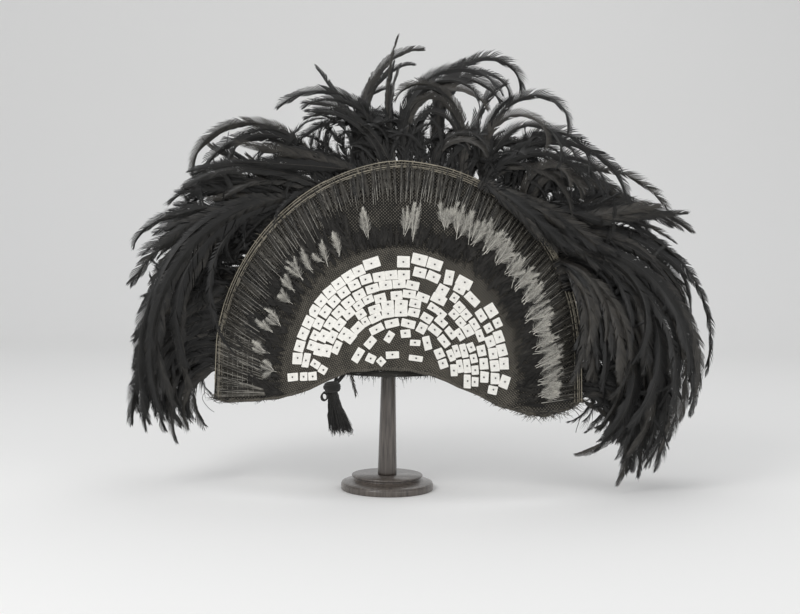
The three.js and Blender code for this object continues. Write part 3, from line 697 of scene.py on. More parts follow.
def make_stage():
    """A pale floor that runs up into a backdrop, and soft light from all round."""
    back_y = 3200.0
    floor_front = -4600.0
    bend = 900.0
    top = 4600.0
    half = 4600.0
    turn = np.linspace(0, np.pi / 2, 12)
    profile = np.concatenate([
        [[floor_front, 0]],
        np.stack([back_y - bend + bend * np.sin(turn), bend - bend * np.cos(turn)], -1),
        [[back_y, top]],
    ])
    shape = Shape()
    points = np.array([[[x, y, z] for y, z in profile] for x in (-half, half)])
    shape.add(points, quads=grid_quads(2, len(profile)))
    mesh = bpy.data.meshes.new("backdrop")
    points = np.concatenate(shape.points) * MM
    mesh.from_pydata(points.tolist(), [], np.concatenate(shape.quads).tolist())
    mesh.polygons.foreach_set("use_smooth", np.full(len(mesh.polygons), True))
    backdrop = bpy.data.objects.new("backdrop", mesh)
    mesh.materials.append(paper_material(colours()))
    bpy.context.scene.collection.objects.link(backdrop)

    for name, (place, size, watts) in LIGHTS.items():
        add_light(name, place, size, watts)
    world = bpy.data.worlds.new("studio")
    world.use_nodes = True
    background = world.node_tree.nodes["Background"]
    background.inputs["Color"].default_value = (0.95, 0.97, 1.0, 1)
    background.inputs["Strength"].default_value = 0.6
    bpy.context.scene.world = world
    bpy.context.scene.view_settings.view_transform = "Standard"


def add_light(name, place, size, watts):
    """A square soft light that faces the middle of the headdress."""
    data = bpy.data.lights.new(name, "AREA")
    data.shape = "SQUARE"
    data.size = size
    data.energy = watts
    light = bpy.data.objects.new(name, data)
    light.location = place
    aim = np.asarray(place) - np.array(LIGHTS_AIM)
    flat = math.hypot(aim[0], aim[1])
    light.rotation_euler = (math.atan2(flat, aim[2]), 0, math.atan2(aim[0], -aim[1]))
    bpy.context.scene.collection.objects.link(light)


# ---------------------------------------------------------------- stand


def add_turned(shape, rows, around=96, steps=3):
    """A turned solid from rows of [radius, z], with `steps` rounds between each row and the
    next."""
    rows = np.asarray(rows, float)
    inner = rows[1:-1]
    place = np.linspace(0, len(inner) - 1, (len(inner) - 1) * steps + 1)
    radius = np.interp(place, np.arange(len(inner)), inner[:, 0])
    height = np.interp(place, np.arange(len(inner)), inner[:, 1])
    turns = np.arange(around) * 2 * np.pi / around
    points = np.stack([
        radius[:, None] * np.cos(turns), radius[:, None] * np.sin(turns),
        np.repeat(height[:, None], around, 1),
    ], -1).reshape(-1, 3)
    low, high = len(points), len(points) + 1
    points = np.concatenate([points, [[0, 0, rows[0, 1]], [0, 0, rows[-1, 1]]]])
    ring = np.arange(around)
    following = (ring + 1) % around
    top = (len(place) - 1) * around
    triangles = np.concatenate([
        np.stack([np.full(around, low), following, ring], -1),
        np.stack([np.full(around, high), ring + top, following + top], -1),
    ])
    quads = grid_quads(len(place), around, closed_columns=True)
    shape.add(points, triangles, quads)


def make_stand():
    """The turned foot and post."""
    wood = wood_material(colours())
    for name, rows in (("turned_foot", FOOT), ("turned_post", POST)):
        shape = Shape()
        add_turned(shape, rows)
        node = {"turned_foot": "stand_foot", "turned_post": "stand_post"}[name]
        shape.make(name, wood, [node])


# ---------------------------------------------------------------- cap


def dome_profile(radius, height, count):
    """Radii and heights of the cap's dome, from its rim to its flat top."""
    level = np.sin(np.linspace(0, 1, count) * math.asin(0.985))
    share = (1 - level ** CAP_ROUNDNESS) ** (1 / CAP_ROUNDNESS)
    return radius * share, CAP_RIM_Z + height * level


def make_cap():
    """The cap's looped cord, in a spiral up the dome, over its plain inside."""
    fibre = cap_material(colours())
    rounds, around = 116, 336
    coil_pitch = 4.2
    stitches = 84
    radius, height = dome_profile(CAP_HALF_X - 0.9, CAP_HEIGHT - 0.9, rounds)
    run = np.concatenate([[0], np.cumsum(np.hypot(np.diff(radius), np.diff(height)))])
    turns = np.arange(around) * 2 * np.pi / around
    coil = run[:, None] / coil_pitch - turns / (2 * np.pi)
    ridge = np.abs(np.sin(np.pi * coil)) ** 0.7
    stitch = 0.5 + 0.5 * np.cos(stitches * turns + np.pi * np.floor(coil))
    relief = 1.1 * ridge * (0.55 + 0.45 * stitch)
    fade = np.clip(radius / 20, 0, 1)[:, None]
    out = radius[:, None] + relief * fade
    outer = np.stack([
        out * np.cos(turns), CAP_Y + out * np.sin(turns) * CAP_HALF_Y / CAP_HALF_X,
        height[:, None] + relief * (1 - 0.6 * fade),
    ], -1)
    inner_radius, inner_height = dome_profile(CAP_HALF_X - CAP_WALL, CAP_HEIGHT - CAP_WALL, 24)
    inner = np.stack([
        inner_radius[:, None] * np.cos(turns),
        CAP_Y + inner_radius[:, None] * np.sin(turns) * CAP_HALF_Y / CAP_HALF_X,
        np.repeat(inner_height[:, None], around, 1),
    ], -1)
    shell = np.concatenate([inner[::-1], outer])
    rows = len(shell)
    # Tones: painted shade in the grooves and painted highlight on the crests of the coil, and
    # painted shade over the inside.
    tones = np.concatenate([np.full(inner.shape[:2], 0.35), 0.2 + 0.6 * relief / 1.1])
    points = np.concatenate([shell.reshape(-1, 3), [inner[-1].mean(0), outer[-1].mean(0)]])
    low = rows * around
    ring = np.arange(around)
    following = (ring + 1) % around
    last = (rows - 1) * around
    caps = np.concatenate([
        np.stack([np.full(around, low), following, ring], -1),
        np.stack([np.full(around, low + 1), last + ring, last + following], -1),
    ])
    shape = Shape()
    shape.add(
        points, caps, grid_quads(rows, around, closed_columns=True),
        np.concatenate([tones.ravel(), [0.35, 0.6]]),
    )
    shape.make("looped_cap", fibre, ["cap_crown"])
    make_cap_band(fibre)


def make_cap_band(fibre):
    """The cap's rolled band: cords side by side, and frayed ends along its lower edge."""
    rng = np.random.default_rng(11)
    shape = Shape()
    around = 240
    turns = np.arange(around + 1) * 2 * np.pi / around
    middle_x = BAND_HALF_X - BAND_WALL / 2
    middle_y = BAND_HALF_Y - BAND_WALL / 2
    for row in range(6):
        z = BAND_LOW_Z + 1.2 + row * 2.45
        wave = 0.35 * np.sin(46 * turns + row * 2.1) - 0.3 * row
        path = np.stack([
            (middle_x + wave) * np.cos(turns), CAP_Y + (middle_y + wave) * np.sin(turns),
            z + 0.3 * np.sin(9 * turns + row),
        ], -1)
        add_tubes(shape, path, 1.45, 6, 0.35 + 0.1 * (row % 2), facing=(0, 0, 1))
    ends = 620
    turn = rng.uniform(0, 2 * np.pi, ends)
    length = rng.uniform(2, 7.5, ends) * np.where(rng.uniform(0, 1, ends) < 0.2, 1.7, 1)
    root = np.stack([
        middle_x * np.cos(turn), CAP_Y + middle_y * np.sin(turn), np.full(ends, BAND_LOW_Z + 1.5),
    ], -1)
    spread = rng.normal(0, 0.4, (ends, 3))
    heading = unit(np.array([0, 0, -1.0]) + spread)
    curl = rng.normal(0, 0.25, (ends, 1, 3))
    paths = strand_paths(root, heading, curl, length)
    add_tubes(shape, paths, FRAY_RADII, 3, rng.uniform(0.3, 1, ends))
    shape.make("rolled_cap_band", fibre, ["cap_band"])


# ---------------------------------------------------------------- panel


# X of the net's left and right ends.
NET_SPAN = (-166, 196)


def make_panel():
    """The net's knots in front, where the plaques lie, and the cord that binds its edge."""
    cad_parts["fan_panel"].data.materials.clear()
    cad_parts["fan_panel"].data.materials.append(panel_back_material(colours()))
    pitch = sizes().knot_pitch / MM
    rng = np.random.default_rng(5)
    columns, rows = 350, 190
    left, right = NET_SPAN
    across = np.linspace(left, right, columns)
    low = edge_z(across) + 0.4
    inside = np.clip(1 - ((across - HUB_X) / (1.16 * BORDER)) ** 2, 0.0, 1)
    high = np.maximum(HUB_Z + 1.13 * HUB_STRETCH * BORDER * np.sqrt(inside), low + 6)
    share = np.linspace(0, 1, rows)[:, None]
    z = low + (high - low) * share
    x = np.broadcast_to(across, z.shape)
    slant = (x + z) / pitch
    counter = (x - z) / pitch
    strand = np.abs(np.sin(np.pi * slant))
    knot = np.abs(np.sin(np.pi * counter + 0.5 * np.pi * np.floor(slant)))
    relief = strand * (0.15 + 0.85 * knot)
    fibre = 0.12 * rng.uniform(-1, 1, z.shape)
    edge = np.minimum(np.minimum(share, 1 - share) * 14, 1)
    edge = edge * np.clip(np.minimum(across - left, right - across) / 6, 0, 1)
    lift = -0.25 + (0.35 + 0.72 * relief + fibre) * edge
    shape = Shape()
    shape.add(
        on_face(x, z, np.minimum(lift, 0.82)), quads=grid_quads(rows, columns),
        # The knots' height sets their tone: painted highlight on top, painted shade in the gaps.
        tone=np.clip(1.15 * relief ** 1.5 + 0.12 * rng.uniform(-1, 1, z.shape), 0, 1),
    )
    fibre = knotted_fibre_material(colours())
    shape.make("knotted_net", fibre)
    make_edge_cord(fibre)


def make_edge_cord(fibre):
    """The lower edge's cord, its winding, and the frayed fibre that sticks out at its ends."""
    rng = np.random.default_rng(6)
    shape = Shape()
    x = np.linspace(EDGE[0, 0] + 3, EDGE[-1, 0] - 4, 260)
    z = edge_z(x) + 1.0 + 0.5 * smooth_noise(rng, len(x), 9)
    cord = on_face(x, z, 0.2 - PANEL_THICK / 2)
    thick = 1.9 + 0.35 * smooth_noise(rng, len(x), 6)
    add_tubes(shape, cord, thick, 8, 0.45 + 0.2 * smooth_noise(rng, len(x), 4).mean())
    winding = np.linspace(0, 1, 3800)
    angle = winding * 2 * np.pi * 215
    along = np.linspace(0, 1, len(x))
    centre = np.stack([np.interp(winding, along, cord[:, k]) for k in range(3)], -1)
    round_radius = np.interp(winding, along, thick) + 0.15
    coil = centre + round_radius[:, None] * np.stack(
        [0 * angle, np.cos(angle), np.sin(angle)], -1
    )
    add_tubes(shape, coil, 0.42, 3, 0.7, facing=(1, 0, 0))
    add_frayed_ends(shape, rng)
    add_back_stitches(shape, rng)
    shape.make("bound_edge", fibre)


# Frayed fibre along the lower edge as rows of [from x, to x, ends, longest, downwards].
FRAYED = [
    [-243, -214, 150, 11, 0.3],
    [-214, -110, 120, 6, 1.0],
    [118, 180, 110, 9, 0.8],
    [180, 268, 420, 16, 0.6],
]


def add_back_stitches(shape, rng):
    """Rows of stitches behind the panel where the feathers on its front are tied through it."""
    behind = -PANEL_THICK - 0.5
    at = np.linspace(FIRST_AT + 3, LAST_AT - 3, 150)
    for share in np.linspace(0.15, 0.93, 9):
        waver = share + 0.006 * smooth_noise(rng, len(at), 3)
        add_tubes(shape, band_point(at, waver, behind), 0.5, 3, 0.75)
    for place in np.linspace(FIRST_AT + 5, LAST_AT - 5, 120) + rng.uniform(-0.5, 0.5, 120):
        reach = rng.uniform(0.05, 0.3) + np.linspace(0, rng.uniform(0.3, 0.62), 5)
        add_tubes(shape, band_point(place, reach, behind - 0.4), 0.45, 3, rng.uniform(0.4, 0.9))


def add_frayed_ends(shape, rng):
    """Short fibre ends that stick out along the lower edge."""
    for start, end, ends, longest, down in FRAYED:
        x = rng.uniform(start, end, ends)
        root = on_face(x, edge_z(x) + rng.uniform(-0.5, 6, ends), rng.uniform(-3, 2, ends))
        side = np.where(rng.uniform(0, 1, ends) < 0.5, -1, 1) * rng.uniform(0.3, 1.2, ends)
        outwards = rng.normal(0, 0.35, ends)
        heading = unit(np.stack([side, outwards, -down * rng.uniform(0, 1, ends)], -1))
        length = longest * rng.uniform(0.3, 1, ends) ** 1.5
        curl = rng.normal(0, 0.3, (ends, 1, 3))
        paths = strand_paths(root, heading, curl, length)
        add_tubes(shape, paths, THICK_FRAY_RADII, 3, rng.uniform(0.1, 0.9, ends))


# ---------------------------------------------------------------- plaques

# Plaques as in the solids: rows of [radius, from, to, count, along, across, tilt].
RINGS = {
    "plaque_edge": [[138.5, 172, 113, 10, 16, 14.5, 0]],
    "plaque_row_edge": [
        [142, 105, 105, 1, 23, 15.5, 0], [139, 87.5, 87.5, 1, 17.5, 16, 0],
        [144, 79, 70.5, 2, 21, 15.5, 0], [137, 60.5, 60.5, 1, 13, 21, 15],
        [143, 52, 52, 1, 22, 15, 5], [135, 43, 43, 1, 22, 12.5, 0],
        [147, 32, 32, 1, 18, 16, 0], [147, 25, 25, 1, 13, 12, 0],
        [142, 18.5, 5, 3, 16.5, 14.5, 0], [142.5, -4, -4, 1, 18, 14, -15],
    ],
    "plaque_row_second_left": [
        [126, 172, 172, 1, 20, 10.5, 0], [123, 163, 157, 2, 13.5, 12, 0],
        [125.5, 150, 110.8, 6, 16, 13.5, 0],
    ],
    "plaque_row_second_top": [
        [123, 102.5, 87, 3, 17, 13.5, 0], [128.5, 77.5, 69, 2, 18, 14, 0],
        [119, 60.5, 60.5, 1, 16, 15, 0], [132, 52, 52, 1, 16.5, 10, 8],
    ],
    "plaque_row_second_right": [
        [132, 33, 33, 1, 17, 12.5, 0], [133, 25, 25, 1, 12, 12, 0],
        [129, 18, -2.5, 4, 15.5, 13.5, 0], [127, -8.8, -8.8, 1, 12, 13.5, 0],
    ],
    "plaque_row_third_left": [
        [112, 164, 118.5, 6, 17, 13.5, 0], [111.5, 108.7, 80.5, 4, 18.3, 12.5, 0],
    ],
    "plaque_row_third_right": [
        [107, 60, 60, 1, 21, 13, 0], [120, 51.5, 51.5, 1, 11, 12, 0],
        [116, 45.5, 39, 2, 14, 13, 0], [118.5, 31, 23.5, 2, 16.5, 11, 0],
        [114.5, 14.5, -1.7, 3, 15.5, 12.5, 0],
    ],
    "plaque_row_fourth_left": [
        [101, 163, 132, 4, 17, 12.5, 0], [101, 122.5, 114, 2, 14.5, 11.5, 0],
        [97.5, 105, 92, 2, 16.5, 12.5, 0], [100, 82, 71.5, 2, 18, 11.5, 0],
    ],
    "plaque_row_fourth_right": [
        [104.5, 45, 37.5, 2, 13, 12, 0], [107, 30, 30, 1, 16, 13.5, 0],
        [102, 19, -5, 4, 13, 10.5, 0],
    ],
    "plaque_row_fifth": [
        [90, 158, 146, 2, 18.5, 10.5, 0], [90.5, 124.5, 124.5, 1, 14, 12, 0],
        [87, 112, 88, 3, 17.5, 12, 0], [90, 76, 76, 1, 16, 11, 0],
        [94, 61, 53, 2, 14, 10.5, 0], [95, 31, 31, 1, 17, 10, 0],
        [91.5, 18.5, -5, 3, 19, 10, 0],
    ],
    "plaque_row_sixth": [
        [80, 145, 134, 2, 16, 13.5, 0], [79, 124.5, 124.5, 1, 10, 12.5, 0],
        [77, 114, 88, 3, 17.5, 12.5, 0], [79, 75.5, 62, 2, 16, 12, 0],
        [86, 49, 36.5, 2, 17.5, 10.5, 0], [82, 20.5, 7.5, 2, 18, 9, 0],
    ],
    "plaque_row_inner": [
        [64, 118, 79, 3, 19.5, 11.5, 0], [65, 62, 62, 1, 13, 15, 0],
        [73, 49, 34.5, 2, 18, 11.5, 0], [60, 26, 26, 1, 14, 13, 0],
        [73.5, 19, 4.5, 2, 16.5, 9.5, 0],
    ],
}

# Plaques along the lower edge, placed one by one: rows of [x, z, turn, along, across].
LOOSE = [
    [-128, 163.5, 8, 15, 11], [-113, 165, 4, 10.5, 11.5], [-101, 166, 8, 12.5, 11.5],
    [-97.5, 182, -28, 13, 10], [-87, 175, -30, 11.5, 11], [-24, 212.5, 50, 17, 11],
    [1, 220.5, 58, 15, 10], [23, 225, 6, 13.5, 11], [36, 213, -3, 14, 8.5],
    [6, 196.5, 3, 18, 9.5], [37, 192.5, -8, 19, 8], [-40, 195.5, 58, 20, 11],
    [-23, 191.5, -25, 12.5, 11.5], [-9, 188, 45, 10.5, 10.5], [52, 213, 105, 19, 10.5],
    [73.5, 185.5, 18, 12, 12.5],
]

PLAQUE_CLEAR = 0.5
PLAQUE_THICK = 1.8
UNEVEN = 3.5
END_GAP = 0.4
SIDE_GAP = 0.6
BROKEN_AT = 4
NOTCH = 5.5


def places_of(runs):
    """Places of the plaques of some runs as rows of [x, z, turn, along, across]."""
    places = []
    for radius, start, end, count, along, across, tilt in runs:
        for angle in np.linspace(start, end, count) + HUB_TURN:
            x = HUB_X + radius * math.cos(math.radians(angle))
            z = HUB_Z + HUB_STRETCH * radius * math.sin(math.radians(angle))
            uneven = UNEVEN * math.sin(7.3 * radius + 3.1 * angle)
            turn = angle - 90 + tilt + uneven
            places.append([x, z, turn, along - END_GAP, across - SIDE_GAP])
    return places


def plaque_outline(along, across, rng, notch):
    """Corners of a sawn plaque: not quite square, with rubbed corners."""
    a, b = along / 2, across / 2
    jitter = rng.uniform(-0.35, 0.35, (4, 2))
    corners = np.array([[-a, -b], [a, -b], [a, b], [-a, b]]) + jitter
    points = []
    for i, corner in enumerate(corners):
        before = unit(corners[i - 1] - corner)
        after = unit(corners[(i + 1) % 4] - corner)
        cut = rng.uniform(0.5, 1.3)
        if notch and i == 3:
            cut = notch
            points += [corner + before * cut, corner + (before + after) * cut * 0.42,
                       corner + after * cut * 0.8]
        else:
            points += [corner + before * cut, corner + (before + after) * cut * 0.28,
                       corner + after * cut]
    outline = []
    for i, point in enumerate(points):
        following = points[(i + 1) % len(points)]
        steps = 3 if np.linalg.norm(following - point) > 3 else 1
        outline += [point + (following - point) * k / steps for k in range(steps)]
    return np.array(outline)


def add_plaque(shape, threads, place, rng, hole, thread_radius, notch=0.0):
    """A thin plaque with a drilled hole, and the thread that goes through it."""
    x, z, turn, along, across = place
    outline = plaque_outline(along, across, rng, notch)
    count = len(outline)
    hole_at = rng.uniform(-0.9, 0.9, 2)
    spin = np.arctan2(*(outline - hole_at).T[::-1])
    rim = hole_at + hole / 2 * np.stack([np.cos(spin), np.sin(spin)], -1)
    normal = unit(np.array([(x - CENTRE_X) / SWEEP_RADIUS, -1, LEAN]))
    heading = np.array([math.cos(math.radians(turn)), 0, math.sin(math.radians(turn))])
    heading[1] = (
        (x - CENTRE_X) / SWEEP_RADIUS * heading[0] + LEAN * heading[2]
    )
    heading = unit(heading)
    across_axis = np.cross(normal, heading)
    tip = rng.uniform(-0.012, 0.012, 2)
    centre = on_face(x, z) + normal * (PLAQUE_CLEAR + rng.uniform(0.1, 0.3))

    def stand(flat, height):
        dip = 0.0016 * (flat ** 2).sum(1)
        up = height + dip + flat @ tip
        return centre + flat[:, :1] * heading + flat[:, 1:] * across_axis + up[:, None] * normal

    inset = outline * (1 - 0.45 / np.maximum(np.linalg.norm(outline, axis=1, keepdims=True), 1))
    thick = PLAQUE_THICK - 0.3 + rng.uniform(-0.15, 0.1)
    # Ring tones: painted shade down the hole's wall and down the plaque's sides to the net; the top
    # is a little darker round the hole.
    rings = [
        (rim, 0.1, 0.05), (rim, thick, 0.25), (hole_at + (rim - hole_at) * 1.5, thick + 0.05, 0.45),
        (inset, thick + 0.02, 0.6), (outline, thick - 0.35, 0.45), (outline, 0, 0.3),
    ]
    points = np.concatenate([stand(ring, height) for ring, height, _ in rings])
    tones = np.concatenate([np.full(count, tone) for _, _, tone in rings])
    shape.add(
        points, quads=grid_quads(len(rings), count, closed_rows=True, closed_columns=True),
        tone=tones,
    )
    knot = np.array([hole_at + [0.3, -0.2], hole_at + [-0.25, 0.3], hole_at + [-0.2, -0.35]])
    path = np.concatenate([stand(knot[:1], -0.3), stand(knot, thick + 0.35), stand(knot[:1], -0.3)])
    add_tubes(threads, path, thread_radius, 5, rng.uniform(0.2, 0.7), facing=normal + [0, 0, 0.1])


def make_plaques():
    """The shell plaques, one by one and in strung rows, and their threads."""
    rng = np.random.default_rng(21)
    shell = shell_material(colours())
    threads = Shape()
    hole = sizes().hole / MM
    thread_radius = sizes().thread_thick / MM / 2
    shape = Shape()
    single = places_of(RINGS["plaque_edge"]) + LOOSE
    for i, place in enumerate(single):
        add_plaque(shape, threads, place, rng, hole, thread_radius, NOTCH if i == BROKEN_AT else 0)
    names = [f"plaque_{i + 1:02d}" for i in range(len(single))]
    shape.make("single_plaques", shell, names, smooth=False)
    for name, runs in RINGS.items():
        if name == "plaque_edge":
            continue
        shape = Shape()
        for place in places_of(runs):
            add_plaque(shape, threads, place, rng, hole, thread_radius)
        piece_name = name.replace("plaque_row", "strung_plaques")
        shape.make(piece_name, shell, [name], smooth=False)
    dark = thread_material("dark_plaque_thread", colours().thread)
    threads.make("plaque_threads", dark)


# ---------------------------------------------------------------- short feathers


# Along this arc most of the short feathers are gone and the net shows.
BALD_FROM = 62
BALD_TO = 112


def make_short_feathers():
    """Matted dark feathers that lie outwards from the plaques, and loose barbs among them."""
    rng = np.random.default_rng(31)
    shape = Shape()
    for _ in range(760):
        at = rng.uniform(FIRST_AT + 2, LAST_AT - 4)
        bald = BALD_FROM < at < BALD_TO
        share = rng.uniform(0.0, 0.1 if bald else 0.42)
        length = rng.uniform(16, 28) if bald else rng.uniform(20, 38)
        if bald and rng.uniform() < 0.45:
            continue
        root = band_point(at, share, 0.6 + rng.uniform(0, 1))
        outward = unit(band_point(at, share + 0.1, 0) - band_point(at, share, 0))
        side = unit(np.cross(outward, [0, 1, 0]))
        swing = rng.normal(0, 0.3)
        shares = np.linspace(0, 1, 6)[:, None]
        lift = np.array([0, -1, 0]) * (1.2 * np.sin(np.pi * shares) + 0.6 * shares)
        path = root + outward * length * shares + side * swing * length * shares ** 1.4 + lift
        add_feather(
            shape, path, rng.uniform(5, 10), rng, barb=2.4, shaft=0.25, ragged=0.6,
            tone=rng.uniform(0.0, 0.5), shaft_tone=rng.uniform(0.2, 0.7), split=0.2,
            comb=rng.uniform(0.4, 0.8), twist=(rng.uniform(-25, 25), 0),
        )
    strands = 4200
    at = rng.uniform(FIRST_AT + 1, LAST_AT - 1, strands)
    bald = (at > BALD_FROM - 2) & (at < BALD_TO)
    share = rng.uniform(0.0, np.where(bald & (rng.uniform(0, 1, strands) < 0.6), 0.1, 0.5))
    root = band_point(at, share, rng.uniform(0.4, 2.2, strands))
    outward = unit(band_point(at, share + 0.1) - band_point(at, share))
    heading = unit(outward + rng.normal(0, 0.35, (strands, 3)) * [1, 0.3, 1])
    length = rng.uniform(6, 24, strands)
    curl = rng.normal(0, 0.16, (strands, 1, 3)) * [1, 0.2, 1]
    paths = strand_paths(root, heading, curl, length)
    tones = rng.uniform(0.0, 0.75, strands) ** 1.5
    add_tubes(shape, paths, BARB_RADII, 3, tones)
    shape.make(
        "matted_short_feathers", short_feather_material(colours()),
        ["short_feathers"],
    )


# ---------------------------------------------------------------- down

# Down tufts as in the solids: rows of [at, root, tip, spread].
DOWN = {
    "down_left": [
        [181, 0.1, 0.34, 2.4], [175, 0.24, 0.5, 2.4], [166, 0.2, 0.46, 2.6], [162, 0.16, 0.4, 2.6],
        [151, 0.12, 0.4, 3.2], [146, 0.2, 0.44, 3.6], [140, 0.16, 0.46, 3.8], [134, 0.12, 0.44, 3.4],
        [127, 0.1, 0.38, 3], [120, 0.12, 0.4, 3],
    ],
    "down_top": [[105, 0.12, 0.5, 3.4], [88.5, 0.1, 0.52, 2.6], [84.5, 0.1, 0.5, 2.6]],
    "down_right": [
        [71, 0.3, 0.56, 4], [65, 0.28, 0.6, 4.6], [58.5, 0.3, 0.58, 4.6], [52, 0.28, 0.62, 4.6],
        [45.5, 0.3, 0.6, 4.8], [39, 0.28, 0.58, 4.8], [32.5, 0.3, 0.62, 4.8], [26, 0.3, 0.6, 4.8],
        [19.5, 0.28, 0.62, 4.8], [13, 0.3, 0.6, 4.8], [6.5, 0.3, 0.64, 4.8], [0, 0.32, 0.66, 4.8],
        [-6.5, 0.34, 0.68, 4.8], [-12, 0.36, 0.66, 3.6],
    ],
}


def make_down():
    """Down tufts of a few plumelets each, thick on the right and sparse elsewhere."""
    rng = np.random.default_rng(41)
    pale = down_material(colours())
    for name, tufts in DOWN.items():
        shape = Shape()
        dense = name == "down_right"
        for at, root_share, tip_share, spread in tufts:
            plumelets = 6 if dense else 3
            for k in range(plumelets):
                aside = (k / (plumelets - 1) - 0.5) * spread * (1.15 if dense else 0.5)
                turn = rng.normal(0, 1.3)
                root = band_point(at + 0.4 * aside, root_share + rng.uniform(-0.03, 0.06), 3.2)
                tip = band_point(at + aside + turn, tip_share + rng.uniform(-0.08, 0.05),
                                 4.5 + rng.uniform(0, 2.5))
                add_down(
                    shape, root, tip, 10 if dense else 7.5, rng, barbs=260 if dense else 280,
                    tone=rng.uniform(0.5, 0.9) if dense else rng.uniform(0.4, 0.8),
                )
        shape.make(name.replace("down", "down_tufts"), pale, [name])


# ---------------------------------------------------------------- quills


# Where the threads that tie the quills down cross them, and how many feathers there are.
TIE_SHARES = (0.6, 0.7, 0.8, 0.885)
QUILL_FEATHERS = 230


def make_quills():
    """Narrow dark feathers side by side, their bare quills pointing inwards, and the threads that
    tie them down."""
    rng = np.random.default_rng(51)
    shape = Shape()
    places = np.linspace(FIRST_AT + 1, LAST_AT - 1, QUILL_FEATHERS)
    for at in places + rng.uniform(-0.5, 0.5, QUILL_FEATHERS):
        start = rng.uniform(0.4, 0.56)
        if 75 < at < 118:
            start = rng.uniform(0.5, 0.6)
        end = rng.uniform(0.95, 1.0)
        shares = np.linspace(0, 1, 8)
        drift = rng.normal(0, 0.8)
        lift = 1.4 + rng.uniform(0, 1.6) + 1.4 * np.sin(np.pi * shares)
        path = band_point(at + drift * shares, start + (end - start) * shares, lift)
        add_feather(
            shape, path, rng.uniform(4.5, 8), rng, barb=2.9, shaft=0.5, bare=0.22, ragged=0.45,
            tone=rng.uniform(0.05, 0.4), shaft_tone=rng.uniform(0.45, 1.0), split=0.06,
            twist=(rng.uniform(-18, 18), rng.uniform(-20, 20)),
        )
    for row, share in enumerate(TIE_SHARES):
        at = np.linspace(FIRST_AT + 1, LAST_AT - 1, 420)
        wobble = 0.004 * smooth_noise(rng, len(at), 4)
        add_tubes(shape, band_point(at, share + wobble, 3.1 + 0.2 * row), 0.3, 3, 0.25)
    make_wicker_corner(shape, rng)
    shape.make("quill_feathers", quill_material(colours()), ["quill_band"])


def make_wicker_corner(shape, rng):
    """Split quills that run out to the fan's left corner, with threads woven across them."""
    count = 58
    at = np.linspace(171, 197, count) + rng.uniform(-0.3, 0.3, count)
    shares = np.linspace(0.3, 0.97, 9)
    paths = band_point(at[:, None], shares[None], 2.0 + rng.uniform(0, 1.0, (count, 1)))
    paths[..., 2] += 0.5 * rng.uniform(-1, 1, paths.shape[:2])
    add_tubes(shape, paths, rng.uniform(0.55, 0.95, (count, 1)), 4, rng.uniform(0.2, 0.75, count))
    for share in np.linspace(0.45, 0.95, 8):
        at = np.linspace(172, 197, 90)
        weave = 1.2 * np.sign(np.sin(np.arange(90) * np.pi / 1.6))
        add_tubes(shape, band_point(at, share, 2.6 + weave), 0.34, 3, 0.8)


# ---------------------------------------------------------------- canes

# Split canes along the rim: rows of [distance inside the rim, lift, tone].
CANES = [[1.2, 2.9, 0.75], [4.2, 2.7, 0.35], [7.3, 2.6, 0.55], [10.3, 2.4, 0.3]]


def make_canes():
    """Lengths of split cane that overlap end to end and drift across the rim."""
    rng = np.random.default_rng(61)
    radius = sizes().cane_thick / MM / 2
    cane = cane_material(colours())
    for name, node, rows in (
        ("rim_canes", "cane_hoop_outer", CANES[:2]),
        ("inner_canes", "cane_hoop_inner", CANES[2:]),
    ):
        shape = Shape()
        for inside, lift, tone in rows:
            start = FIRST_AT
            while start < LAST_AT - 8:
                end = min(start + rng.uniform(18, 46), LAST_AT)
                at = np.linspace(start, end, 40)
                drift = np.linspace(rng.uniform(-1.1, 1.1), rng.uniform(-1.1, 1.1), 40)
                path = rim_point(at, -inside + drift, lift + rng.uniform(-0.3, 0.3))
                add_tubes(shape, path, radius, 6, tone + rng.uniform(-0.2, 0.2))
                start = end - rng.uniform(1, 5)
        if node == "cane_hoop_outer":
            add_lashings(shape, rng)
        shape.make(name, cane, [node])


# The rim's pale whipping on the right: from, to and step in degrees along the rim.
WHIPPED = (19.0, 43.0, 0.55)


def add_lashings(shape, rng):
    """Thread wound round the canes every few millimetres, with its cut ends standing out."""
    lashings = 84
    for at in np.linspace(FIRST_AT + 1, LAST_AT - 1, lashings) + rng.uniform(-0.4, 0.4, lashings):
        deep = rng.choice([4.6, 10.2], p=[0.6, 0.4])
        turns = rng.integers(1, 4)
        for k in range(turns):
            near = at + 0.2 * k
            lean = rng.uniform(-0.25, 0.25)
            out = np.array([0.4, 0.2, -deep / 2, -deep, -deep - 0.3, -deep])
            lift = np.array([-1.2, 1.4, 2.75, 2.6, 1.2, -1.0])
            path = rim_point(near + lean * np.linspace(0, 1, 6), out, lift)
            add_tubes(shape, path, 0.36, 4, rng.uniform(0.1, 0.6))
        if rng.uniform() < 0.3:
            end = rim_point(at + rng.uniform(-0.9, 0.9), rng.uniform(2, 7), rng.uniform(1, 4))
            path = np.stack([rim_point(at, 0.2, 1.6), (rim_point(at, 1.5, 2.5) + end) / 2, end])
            add_tubes(shape, path, np.array([0.32, 0.28, 0.12]), 3, rng.uniform(0.2, 0.8))
    for at in np.arange(*WHIPPED):
        deep = rng.uniform(4.5, 6.0)
        out = np.array([1.0, 0.8, -deep / 2, -deep, -deep - 0.4])
        lift = np.array([-0.5, 2.6, 3.9, 3.4, 1.0])
        path = rim_point(at + np.linspace(0, 1.3, 5) * rng.choice([-1, 1]), out, lift)
        add_tubes(shape, path, 0.45, 4, rng.uniform(0.6, 1.0))


# ---------------------------------------------------------------- plumes

